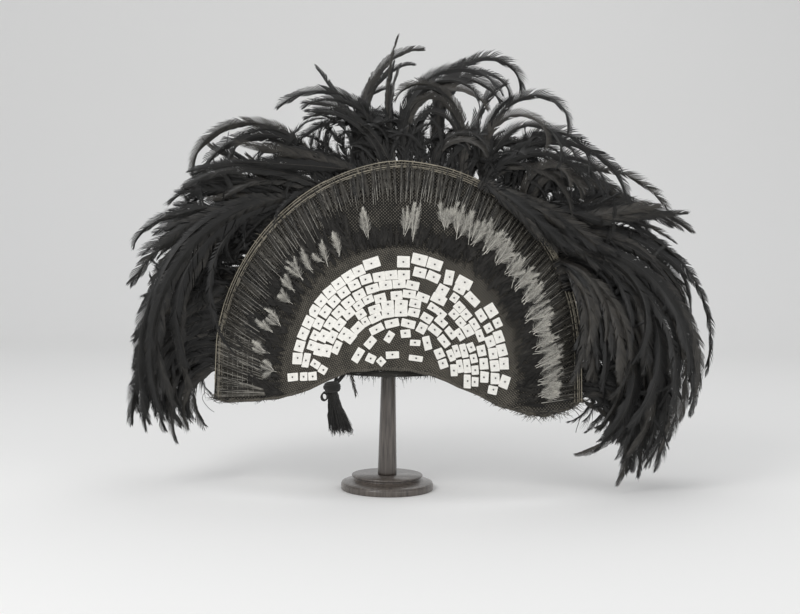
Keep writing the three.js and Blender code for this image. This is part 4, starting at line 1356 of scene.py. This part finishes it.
# Locks of plumes as in the solids: rows of [at, aim, turn, late, length, width, lean, sway].
PLUMES = {
    "plume_left": [7, [
        [186, 198, 98, 1.1, 145, 13, -6, 10], [183, 188, 115, 1.3, 160, 15, 8, -20],
        [181, 178, 112, 1.1, 182, 14, -12, 8], [178, 182, 95, 1.0, 170, 15, -14, 4],
        [175, 175, 115, 1.1, 190, 18, 16, 22], [172, 180, 100, 0.9, 218, 17, -14, -12],
        [168, 180, 102, 1.0, 214, 18, -8, -10], [163, 183, 97, 0.9, 238, 18, -12, 10],
        [158, 180, 100, 0.9, 262, 18, 20, 8], [148, 158, 122, 1.2, 234, 12, 14, 10],
        [145, 185, 90, 0.9, 290, 18, 14, 10], [140, 165, 60, 1.2, 190, 18, 8, -6],
        [138, 172, 88, 3.6, 220, 15, 6, 4], [135, 165, 45, 1.0, 172, 17, -8, 4],
        [130, 145, 85, 1.5, 185, 18, 10, -14], [128, 160, 30, 1.0, 160, 18, -6, 10],
        [126, 177, 115, 0.9, 430, 19, -14, 12], [122, 158, -20, 3.0, 168, 9, 4, 8],
    ]],
    "plume_crest_left": [7, [
        [118, 150, 60, 1.0, 190, 16, -12, 10], [115, 118, 155, 1.5, 262, 17, 8, -18],
        [110, 150, 40, 1.0, 150, 15, 26, 12], [105, 165, 5, 1.0, 165, 17, -10, 8],
        [92, 102, -33, 1.5, 180, 9, 2, 6], [102, 95, -95, 2.0, 235, 14, 16, 10],
        [100, 108, 22, 1.0, 175, 8, 14, 8], [96, 105, 85, 1.2, 150, 12, -14, 10],
        [93, 98, 128, 1.2, 218, 15, 8, -20],
    ]],
    "plume_crest": [7, [
        [90, 97, -168, 1.45, 248, 16, -4, -16], [84, 100, 110, 1.3, 130, 10, 14, -20],
        [80, 85, -160, 1.2, 115, 9, -10, -10], [77, 98, -205, 2.0, 300, 17, 12, 16],
        [70, 86, 168, 2.0, 206, 11, -10, -12], [68, 95, -190, 1.0, 163, 10, 14, -14],
    ]],
    "plume_crest_right": [7, [
        [62, 66, -145, 1.0, 260, 15, -10, 12], [60, 104, -235, 1.7, 262, 15, -6, -20],
        [52, 108, -215, 1.3, 225, 17, 4, -26], [48, 60, -125, 1.0, 275, 17, 14, -10],
        [45, 100, -195, 1.3, 195, 17, -8, -8], [42, 60, -105, 0.9, 222, 18, 22, 14],
        [40, 12, -10, 1.0, 205, 17, -12, 6], [38, 50, -92, 0.9, 235, 17, 4, -10],
    ]],
    "plume_right": [7, [
        [35, 38, -142, 0.85, 392, 13, 4, 4], [33, 32, -138, 0.75, 368, 15, -6, 10],
        [30, 15, -128, 0.85, 345, 17, -6, -14], [26, 5, -120, 0.9, 350, 18, 8, 18],
        [24, -3, -118, 1.0, 368, 18, 14, 8], [18, -8, -118, 1.0, 318, 19, -12, 8],
        [8, -3, -115, 0.9, 275, 18, -4, -12], [2, -5, -105, 0.9, 243, 17, 18, 14],
        [-8, -8, -100, 0.9, 190, 15, -6, 10], [-12, -4, -88, 1.4, 150, 13, 8, -10],
    ]],
    "plume_front_upper": [-8, [
        [62, -30, -15, 1.0, 150, 20, -12, 4], [56, -25, -25, 1.0, 165, 20, -8, 2],
        [50, -20, -10, 1.0, 150, 18, -4, 6],
    ]],
    "plume_front_low": [-8, [
        [26, -5, -95, 0.6, 195, 16, -20, 6], [23, -10, -95, 0.5, 180, 16, -24, 8],
        [20, -40, -60, 0.6, 145, 15, -28, 20],
    ]],
}


# Plumes that lean backwards or forwards flatten out from the first Y of a pair to the second.
BACK_LIMIT = (90.0, 126.0)
FRONT_LIMIT = (-66.0, -92.0)


def plume_path(row, depth, step=8.0):
    """Centres along a plume, from its quill to its tip, by the rule of the solids."""
    at, aim, turn, late, length, _, lean, sway = row
    steps = max(8, round(length / step))
    share = (np.arange(steps) + 0.5) / steps
    heading = np.radians(aim + turn * share ** late)
    tilt = np.radians(lean + sway * share)
    moves = np.stack([
        np.cos(heading) * np.cos(tilt), np.sin(tilt), np.sin(heading) * np.cos(tilt),
    ], -1) * length / steps
    root = rim_point(at, -1, -depth)
    path = np.concatenate([[rim_point(at, -14, -depth), root], root + np.cumsum(moves, 0)])
    for start, end in (BACK_LIMIT, FRONT_LIMIT):
        room = end - start
        beyond = np.maximum((path[:, 1] - start) / room, 0)
        path[:, 1] += room * (np.tanh(beyond) - beyond)
    return path


# Short curled feathers behind the rim: rows of [node, from, to, feathers, aim in the middle,
# change of aim over the span, shortest, longest].
UNDERGROWTH = [
    ["plume_left", 122, 187, 140, 172, 30, 60, 150],
    ["plume_crest_left", 92, 119, 75, 118, 45, 40, 105],
    ["plume_crest", 67, 90, 70, 85, 30, 40, 90],
    ["plume_crest_right", 37, 65, 75, 62, 55, 45, 120],
    ["plume_right", -13, 35, 80, 2, 40, 60, 170],
]


# How far the plumes reach from the middle of the fan: rows of [direction in degrees, distance].
REACH = np.array([
    [-32, 385], [-27, 400], [-21, 414], [-8, 424], [6, 430], [16, 436], [23, 438], [28, 416],
    [37, 390], [44, 368], [56, 380], [64, 385], [69, 408], [74, 414], [85, 400], [90, 404],
    [93, 392], [102, 377], [114, 378], [122, 404], [128, 400], [140, 390], [151, 383],
    [160, 392], [166, 380], [184, 371], [193, 374], [200, 345], [206, 325], [212, 300],
])


def kept_within_reach(path, rng):
    """The part of a plume before it leaves the headdress's outline."""
    aside = path[:, 0] - CENTRE_X
    above = path[:, 2] - SPRING_Z
    direction = np.degrees(np.arctan2(above, aside))
    direction = np.where(direction < -90, direction + 360, direction)
    limit = np.interp(direction, REACH[:, 0], REACH[:, 1]) * rng.uniform(0.94, 1.0)
    outside = np.nonzero(np.hypot(aside, above) > limit)[0]
    return path[:outside[0]] if len(outside) else path


def neighbour(row, rng, reach):
    """Another feather of the same lock, tied close by and bent a little otherwise."""
    at, aim, turn, late, length, width, lean, sway = row
    return [
        at + rng.normal(0, 1.5 * reach), aim + rng.normal(0, 7 * reach),
        turn * (1 + rng.normal(0, 0.11 * reach)), late * rng.uniform(0.85, 1.25),
        length * rng.uniform(0.62, 1.0), width * rng.uniform(0.7, 1.1),
        lean + rng.normal(0, 3 * reach), sway + rng.normal(0, 3 * reach),
    ]


def undergrowth(name, rng):
    """Rows of short feathers that curl either way close to the rim."""
    rows = []
    for node, start, end, count, aim, fan, shortest, longest in UNDERGROWTH:
        if node != name:
            continue
        for _ in range(count):
            share = rng.uniform(0, 1)
            heading = aim + fan * (share - 0.5) + rng.normal(0, 16)
            curl = rng.choice([-1, 1]) * rng.uniform(20, 150)
            rows.append([
                start + (end - start) * share, heading, curl, rng.uniform(0.9, 1.8),
                rng.uniform(shortest, longest), rng.uniform(9, 16), rng.normal(0, 7),
                rng.normal(0, 7),
            ])
    return rows


# How each node's locks are filled: feathers in a lock, and how far they stray from the first.
FILLING = {
    "plume_left": (8, 0.8),
    "plume_crest_left": (4, 0.6),
    "plume_crest": (4, 0.5),
    "plume_crest_right": (5, 0.6),
    "plume_right": (12, 0.9),
    "plume_front_upper": (9, 0.9),
    "plume_front_low": (9, 0.9),
}


def make_plumes():
    """Each lock's main plumes, the feathers beside them, and short curled ones."""
    black = black_feather_material(colours())
    barb = sizes().barb / MM
    for seed, (name, (depth, rows)) in enumerate(PLUMES.items()):
        rng = np.random.default_rng(70 + seed)
        shape = Shape()
        count, reach = FILLING[name]
        for row in rows:
            for k in range(count):
                feather = row if k == 0 else neighbour(row, rng, reach)
                path = plume_path(feather, depth + rng.uniform(-1.5, 1.5))
                if k > 0:
                    path = kept_within_reach(path, rng)
                if len(path) < 8:
                    continue
                add_feather(
                    shape, path, 1.15 * feather[5], rng, barb=barb, shaft=0.7, bare=0.01,
                    ragged=0.22, tone=rng.uniform(0.0, 0.9), shaft_tone=rng.uniform(0.5, 1.0),
                    split=rng.choice([0, 0.04, 0.12]), comb=rng.uniform(0.1, 0.55),
                    twist=(rng.uniform(-20, 20), rng.uniform(-25, 25)),
                    cup=rng.uniform(0.05, 0.4),
                )
        for feather in undergrowth(name, rng):
            path = kept_within_reach(plume_path(feather, depth + rng.uniform(-2, 2)), rng)
            if len(path) < 6:
                continue
            add_feather(
                shape, path, feather[5], rng, barb=3.0, shaft=0.5, bare=0.01, ragged=0.5,
                tone=rng.uniform(0.0, 0.6), shaft_tone=rng.uniform(0.2, 0.6), split=0.15,
                comb=rng.uniform(0.4, 0.75), twist=(rng.uniform(-50, 50), rng.uniform(-60, 60)),
            )
        shape.make(name.replace("plume", "plumes"), black, [name])


# ---------------------------------------------------------------- tassel and loose feather

TASSEL_HEAD = (-75.0, -80.0, 152.5)
TASSEL_FOOT = (-62.0, -80.0, 93.0)
TASSEL_HALF = 17.0


def make_tassel():
    """A bound head with loops, loose strands, and the two tapes that hold it."""
    rng = np.random.default_rng(81)
    shape = Shape()
    head = np.array(TASSEL_HEAD)
    foot = np.array(TASSEL_FOOT)
    strands = 260
    turn = rng.uniform(0, 2 * np.pi, strands)
    reach = np.sqrt(rng.uniform(0.02, 1, strands))
    spread = np.stack([reach * np.cos(turn), 0.5 * reach * np.sin(turn), 0 * turn], -1)
    neck = head + [0, 0, -3] + spread * 5
    waist = head + [3, 0, -24] + spread * 9
    end = foot + spread * TASSEL_HALF + rng.normal(0, 1, (strands, 3)) * [1.5, 1, 3.5]
    shares = np.linspace(0, 1, 7)[None, :, None]
    paths = (1 - shares) ** 2 * neck[:, None] + 2 * shares * (1 - shares) * waist[:, None]
    paths = paths + shares ** 2 * end[:, None]
    paths[:, 1:] += rng.normal(0, 0.45, (strands, 6, 3))
    add_tubes(shape, paths, np.array([0.6, 0.6, 0.6, 0.55, 0.5, 0.45, 0.2]), 3,
              rng.uniform(0.1, 0.9, strands))
    for k in range(15):
        lean = rng.uniform(-0.5, 0.5)
        angle = np.linspace(0, 2 * np.pi, 22)
        middle = head + [0, 0, 6 - 0.9 * k]
        swell = 6 + 5 * math.sin(math.pi * (k + 1) / 16)
        path = middle + np.stack([
            swell * np.cos(angle), 0.72 * swell * np.sin(angle), 2.2 * lean * np.cos(angle),
        ], -1)
        add_tubes(shape, path, 1.15, 5, rng.uniform(0.2, 0.8), facing=(0, 0, 1))
    for k in range(3):
        angle = np.linspace(0, 2 * np.pi, 20)
        middle = head + [-9 - 0.8 * k, -2 + 2 * k, -12 - k]
        path = middle + np.stack([
            4.0 * np.cos(angle), 2.2 * np.sin(angle + k), 5.2 * np.sin(angle),
        ], -1)
        add_tubes(shape, path, 1.1, 5, rng.uniform(0.2, 0.7))
    for x, back in ((-69.0, 2.4), (-57.0, 2.6)):
        top = on_face(x, edge_z(x) + 5, -PANEL_THICK - 0.3 - back)
        mid = on_face(x, edge_z(x) - 3, -PANEL_THICK - 0.3 - back)
        low = head + [4, 0, 4]
        shares = np.linspace(0, 1, 12)[:, None]
        path = (1 - shares) ** 2 * top + 2 * shares * (1 - shares) * mid + shares ** 2 * low
        _, side, out = frames(path, np.array([0, 1.0, 0]))
        add_box_strip(shape, path, side, out, 6.5 - 2.0 * np.sin(np.pi * shares[:, 0]), 1.3, 0.6)
    dark = thread_material("dark_tassel_fibre", colours().tassel)
    shape.make("fibre_tassel", dark, ["tassel"])


# The loose feather's line as rows of [x, z, distance behind the panel].
LOOSE_FEATHER = [[-49, 178, 1.7], [-48, 166, 1.7], [-45, 154, 1.0], [-42, 142, 0.0]]


def make_loose_feather():
    """A small feather that hangs from the panel's lower edge."""
    rng = np.random.default_rng(91)
    shape = Shape()
    rows = np.array(LOOSE_FEATHER)
    path = on_face(rows[:, 0], rows[:, 1], -PANEL_THICK - rows[:, 2])
    fine = np.linspace(0, 3, 10)
    path = np.stack([np.interp(fine, np.arange(4), path[:, k]) for k in range(3)], -1)
    add_feather(shape, path, 7, rng, barb=1.6, shaft=0.4, tone=0.3, shaft_tone=0.8, split=0.1)
    shape.make(
        "small_loose_feather", short_feather_material(colours()),
        ["loose_feather"],
    )


# ---------------------------------------------------------------- loose threads


def sagging_thread(start, points):
    """A smooth line from `start` through some points, each given as an offset from the start."""
    knots = np.array([[0, 0, 0], *points], float) + start
    place = np.linspace(0, len(knots) - 1, 8 * (len(knots) - 1) + 1)
    i = np.clip(place.astype(int), 0, len(knots) - 2)
    t = (place - i)[:, None]
    before = knots[np.maximum(i - 1, 0)]
    after = knots[np.minimum(i + 2, len(knots) - 1)]
    a, b = knots[i], knots[i + 1]
    return 0.5 * (
        2 * a + (b - before) * t + (2 * before - 5 * a + 4 * b - after) * t ** 2
        + (3 * a - before - 3 * b + after) * t ** 3
    )


# Loose threads: name, place of its upper end on the fan as x, z and distance behind the front,
# thickness, and offsets of the points that it passes.
THREADS = [
    ["thread_left", -226, 127, 1.5, 0.7, [
        [-8, -1, -4], [-17, -2, 2], [-26, -1, 10], [-30, 0, 1], [-22, 1, -11], [-14, 1, -17],
    ]],
    ["thread_right", 254, 122, 1.5, 0.9, [
        [6, -1, -5], [11, -2, -13], [9, -2, -22], [7, -1, -29], [6, -1, -34],
    ]],
]


def make_threads():
    """The loose threads."""
    dark = thread_material("loose_dark_thread", colours().thread)
    for name, x, z, back, thick, points in THREADS:
        path = sagging_thread(on_face(x, z, -back), points)
        shape = Shape()
        add_tubes(shape, path, thick / 2, 6, 0.5)
        piece = shape.make(name, dark)


# ---------------------------------------------------------------- operators


class HEADDRESS_OT_camera(bpy.types.Operator):
    """Adds the camera in front of the headdress"""

    bl_idname = "headdress.camera"
    bl_label = "Camera"
    bl_options = {"REGISTER", "UNDO"}

    def execute(self, context):
        make_camera()
        return {"FINISHED"}


class HEADDRESS_OT_threads(bpy.types.Operator):
    """Makes the loose threads that hang from the panel's edge"""

    bl_idname = "headdress.threads"
    bl_label = "Loose threads"
    bl_options = {"REGISTER", "UNDO"}

    def execute(self, context):
        make_threads()
        return {"FINISHED"}


class HEADDRESS_OT_stage(bpy.types.Operator):
    """Adds the floor, the backdrop and the lights"""

    bl_idname = "headdress.stage"
    bl_label = "Stage"
    bl_options = {"REGISTER", "UNDO"}

    def execute(self, context):
        make_stage()
        return {"FINISHED"}


class HEADDRESS_OT_stand(bpy.types.Operator):
    """Makes the turned stand"""

    bl_idname = "headdress.stand"
    bl_label = "Stand"
    bl_options = {"REGISTER", "UNDO"}

    def execute(self, context):
        make_stand()
        return {"FINISHED"}


class HEADDRESS_OT_cap(bpy.types.Operator):
    """Makes the looped cap and its rolled band"""

    bl_idname = "headdress.cap"
    bl_label = "Cap"
    bl_options = {"REGISTER", "UNDO"}

    def execute(self, context):
        make_cap()
        return {"FINISHED"}


class HEADDRESS_OT_panel(bpy.types.Operator):
    """Makes the knotted net of the panel and its bound edge"""

    bl_idname = "headdress.panel"
    bl_label = "Panel"
    bl_options = {"REGISTER", "UNDO"}

    def execute(self, context):
        make_panel()
        return {"FINISHED"}


class HEADDRESS_OT_plaques(bpy.types.Operator):
    """Makes the shell plaques and the threads that hold them"""

    bl_idname = "headdress.plaques"
    bl_label = "Plaques"
    bl_options = {"REGISTER", "UNDO"}

    def execute(self, context):
        make_plaques()
        return {"FINISHED"}


class HEADDRESS_OT_short_feathers(bpy.types.Operator):
    """Makes the matted short feathers round the plaques"""

    bl_idname = "headdress.short_feathers"
    bl_label = "Short feathers"
    bl_options = {"REGISTER", "UNDO"}

    def execute(self, context):
        make_short_feathers()
        return {"FINISHED"}


class HEADDRESS_OT_down(bpy.types.Operator):
    """Makes the pale down tufts"""

    bl_idname = "headdress.down"
    bl_label = "Down"
    bl_options = {"REGISTER", "UNDO"}

    def execute(self, context):
        make_down()
        return {"FINISHED"}


class HEADDRESS_OT_quills(bpy.types.Operator):
    """Makes the narrow quill feathers inside the rim"""

    bl_idname = "headdress.quills"
    bl_label = "Quills"
    bl_options = {"REGISTER", "UNDO"}

    def execute(self, context):
        make_quills()
        return {"FINISHED"}


class HEADDRESS_OT_canes(bpy.types.Operator):
    """Makes the split canes of the rim and their lashings"""

    bl_idname = "headdress.canes"
    bl_label = "Canes"
    bl_options = {"REGISTER", "UNDO"}

    def execute(self, context):
        make_canes()
        return {"FINISHED"}


class HEADDRESS_OT_plumes(bpy.types.Operator):
    """Makes the long black plumes"""

    bl_idname = "headdress.plumes"
    bl_label = "Plumes"
    bl_options = {"REGISTER", "UNDO"}

    def execute(self, context):
        make_plumes()
        return {"FINISHED"}


class HEADDRESS_OT_tassel(bpy.types.Operator):
    """Makes the tassel and its tapes"""

    bl_idname = "headdress.tassel"
    bl_label = "Tassel"
    bl_options = {"REGISTER", "UNDO"}

    def execute(self, context):
        make_tassel()
        return {"FINISHED"}


class HEADDRESS_OT_loose_feather(bpy.types.Operator):
    """Makes the small feather that hangs loose beside the tassel"""

    bl_idname = "headdress.loose_feather"
    bl_label = "Loose feather"
    bl_options = {"REGISTER", "UNDO"}

    def execute(self, context):
        make_loose_feather()
        return {"FINISHED"}


MAKERS = (
    HEADDRESS_OT_camera,
    HEADDRESS_OT_threads,
    HEADDRESS_OT_stage,
    HEADDRESS_OT_stand,
    HEADDRESS_OT_cap,
    HEADDRESS_OT_panel,
    HEADDRESS_OT_plaques,
    HEADDRESS_OT_short_feathers,
    HEADDRESS_OT_down,
    HEADDRESS_OT_quills,
    HEADDRESS_OT_canes,
    HEADDRESS_OT_plumes,
    HEADDRESS_OT_tassel,
    HEADDRESS_OT_loose_feather,
)


class HEADDRESS_PT_panel(bpy.types.Panel):
    """Settings and makers of the headdress"""

    bl_idname = "HEADDRESS_PT_panel"
    bl_label = "Headdress"
    bl_space_type = "VIEW_3D"
    bl_region_type = "UI"
    bl_category = "Headdress"

    def draw(self, context):
        for settings in (context.scene.headdress_sizes, context.scene.headdress_colours):
            box = self.layout.box()
            for name in settings.bl_rna.properties.keys():
                if name not in ("rna_type", "name"):
                    box.prop(settings, name)
        for maker in MAKERS:
            self.layout.operator(maker.bl_idname)


CLASSES = (HeaddressColours, HeaddressSizes, *MAKERS, HEADDRESS_PT_panel)


def register():
    for each in CLASSES:
        bpy.utils.register_class(each)
    bpy.types.Scene.headdress_colours = bpy.props.PointerProperty(type=HeaddressColours)
    bpy.types.Scene.headdress_sizes = bpy.props.PointerProperty(type=HeaddressSizes)


def unregister():
    del bpy.types.Scene.headdress_sizes
    del bpy.types.Scene.headdress_colours
    for each in reversed(CLASSES):
        bpy.utils.unregister_class(each)


def main():
    """Makes everything in order."""
    register()
    for maker in MAKERS:
        group, action = maker.bl_idname.split(".")
        getattr(getattr(bpy.ops, group), action)()


if __name__ == "__main__":
    main()
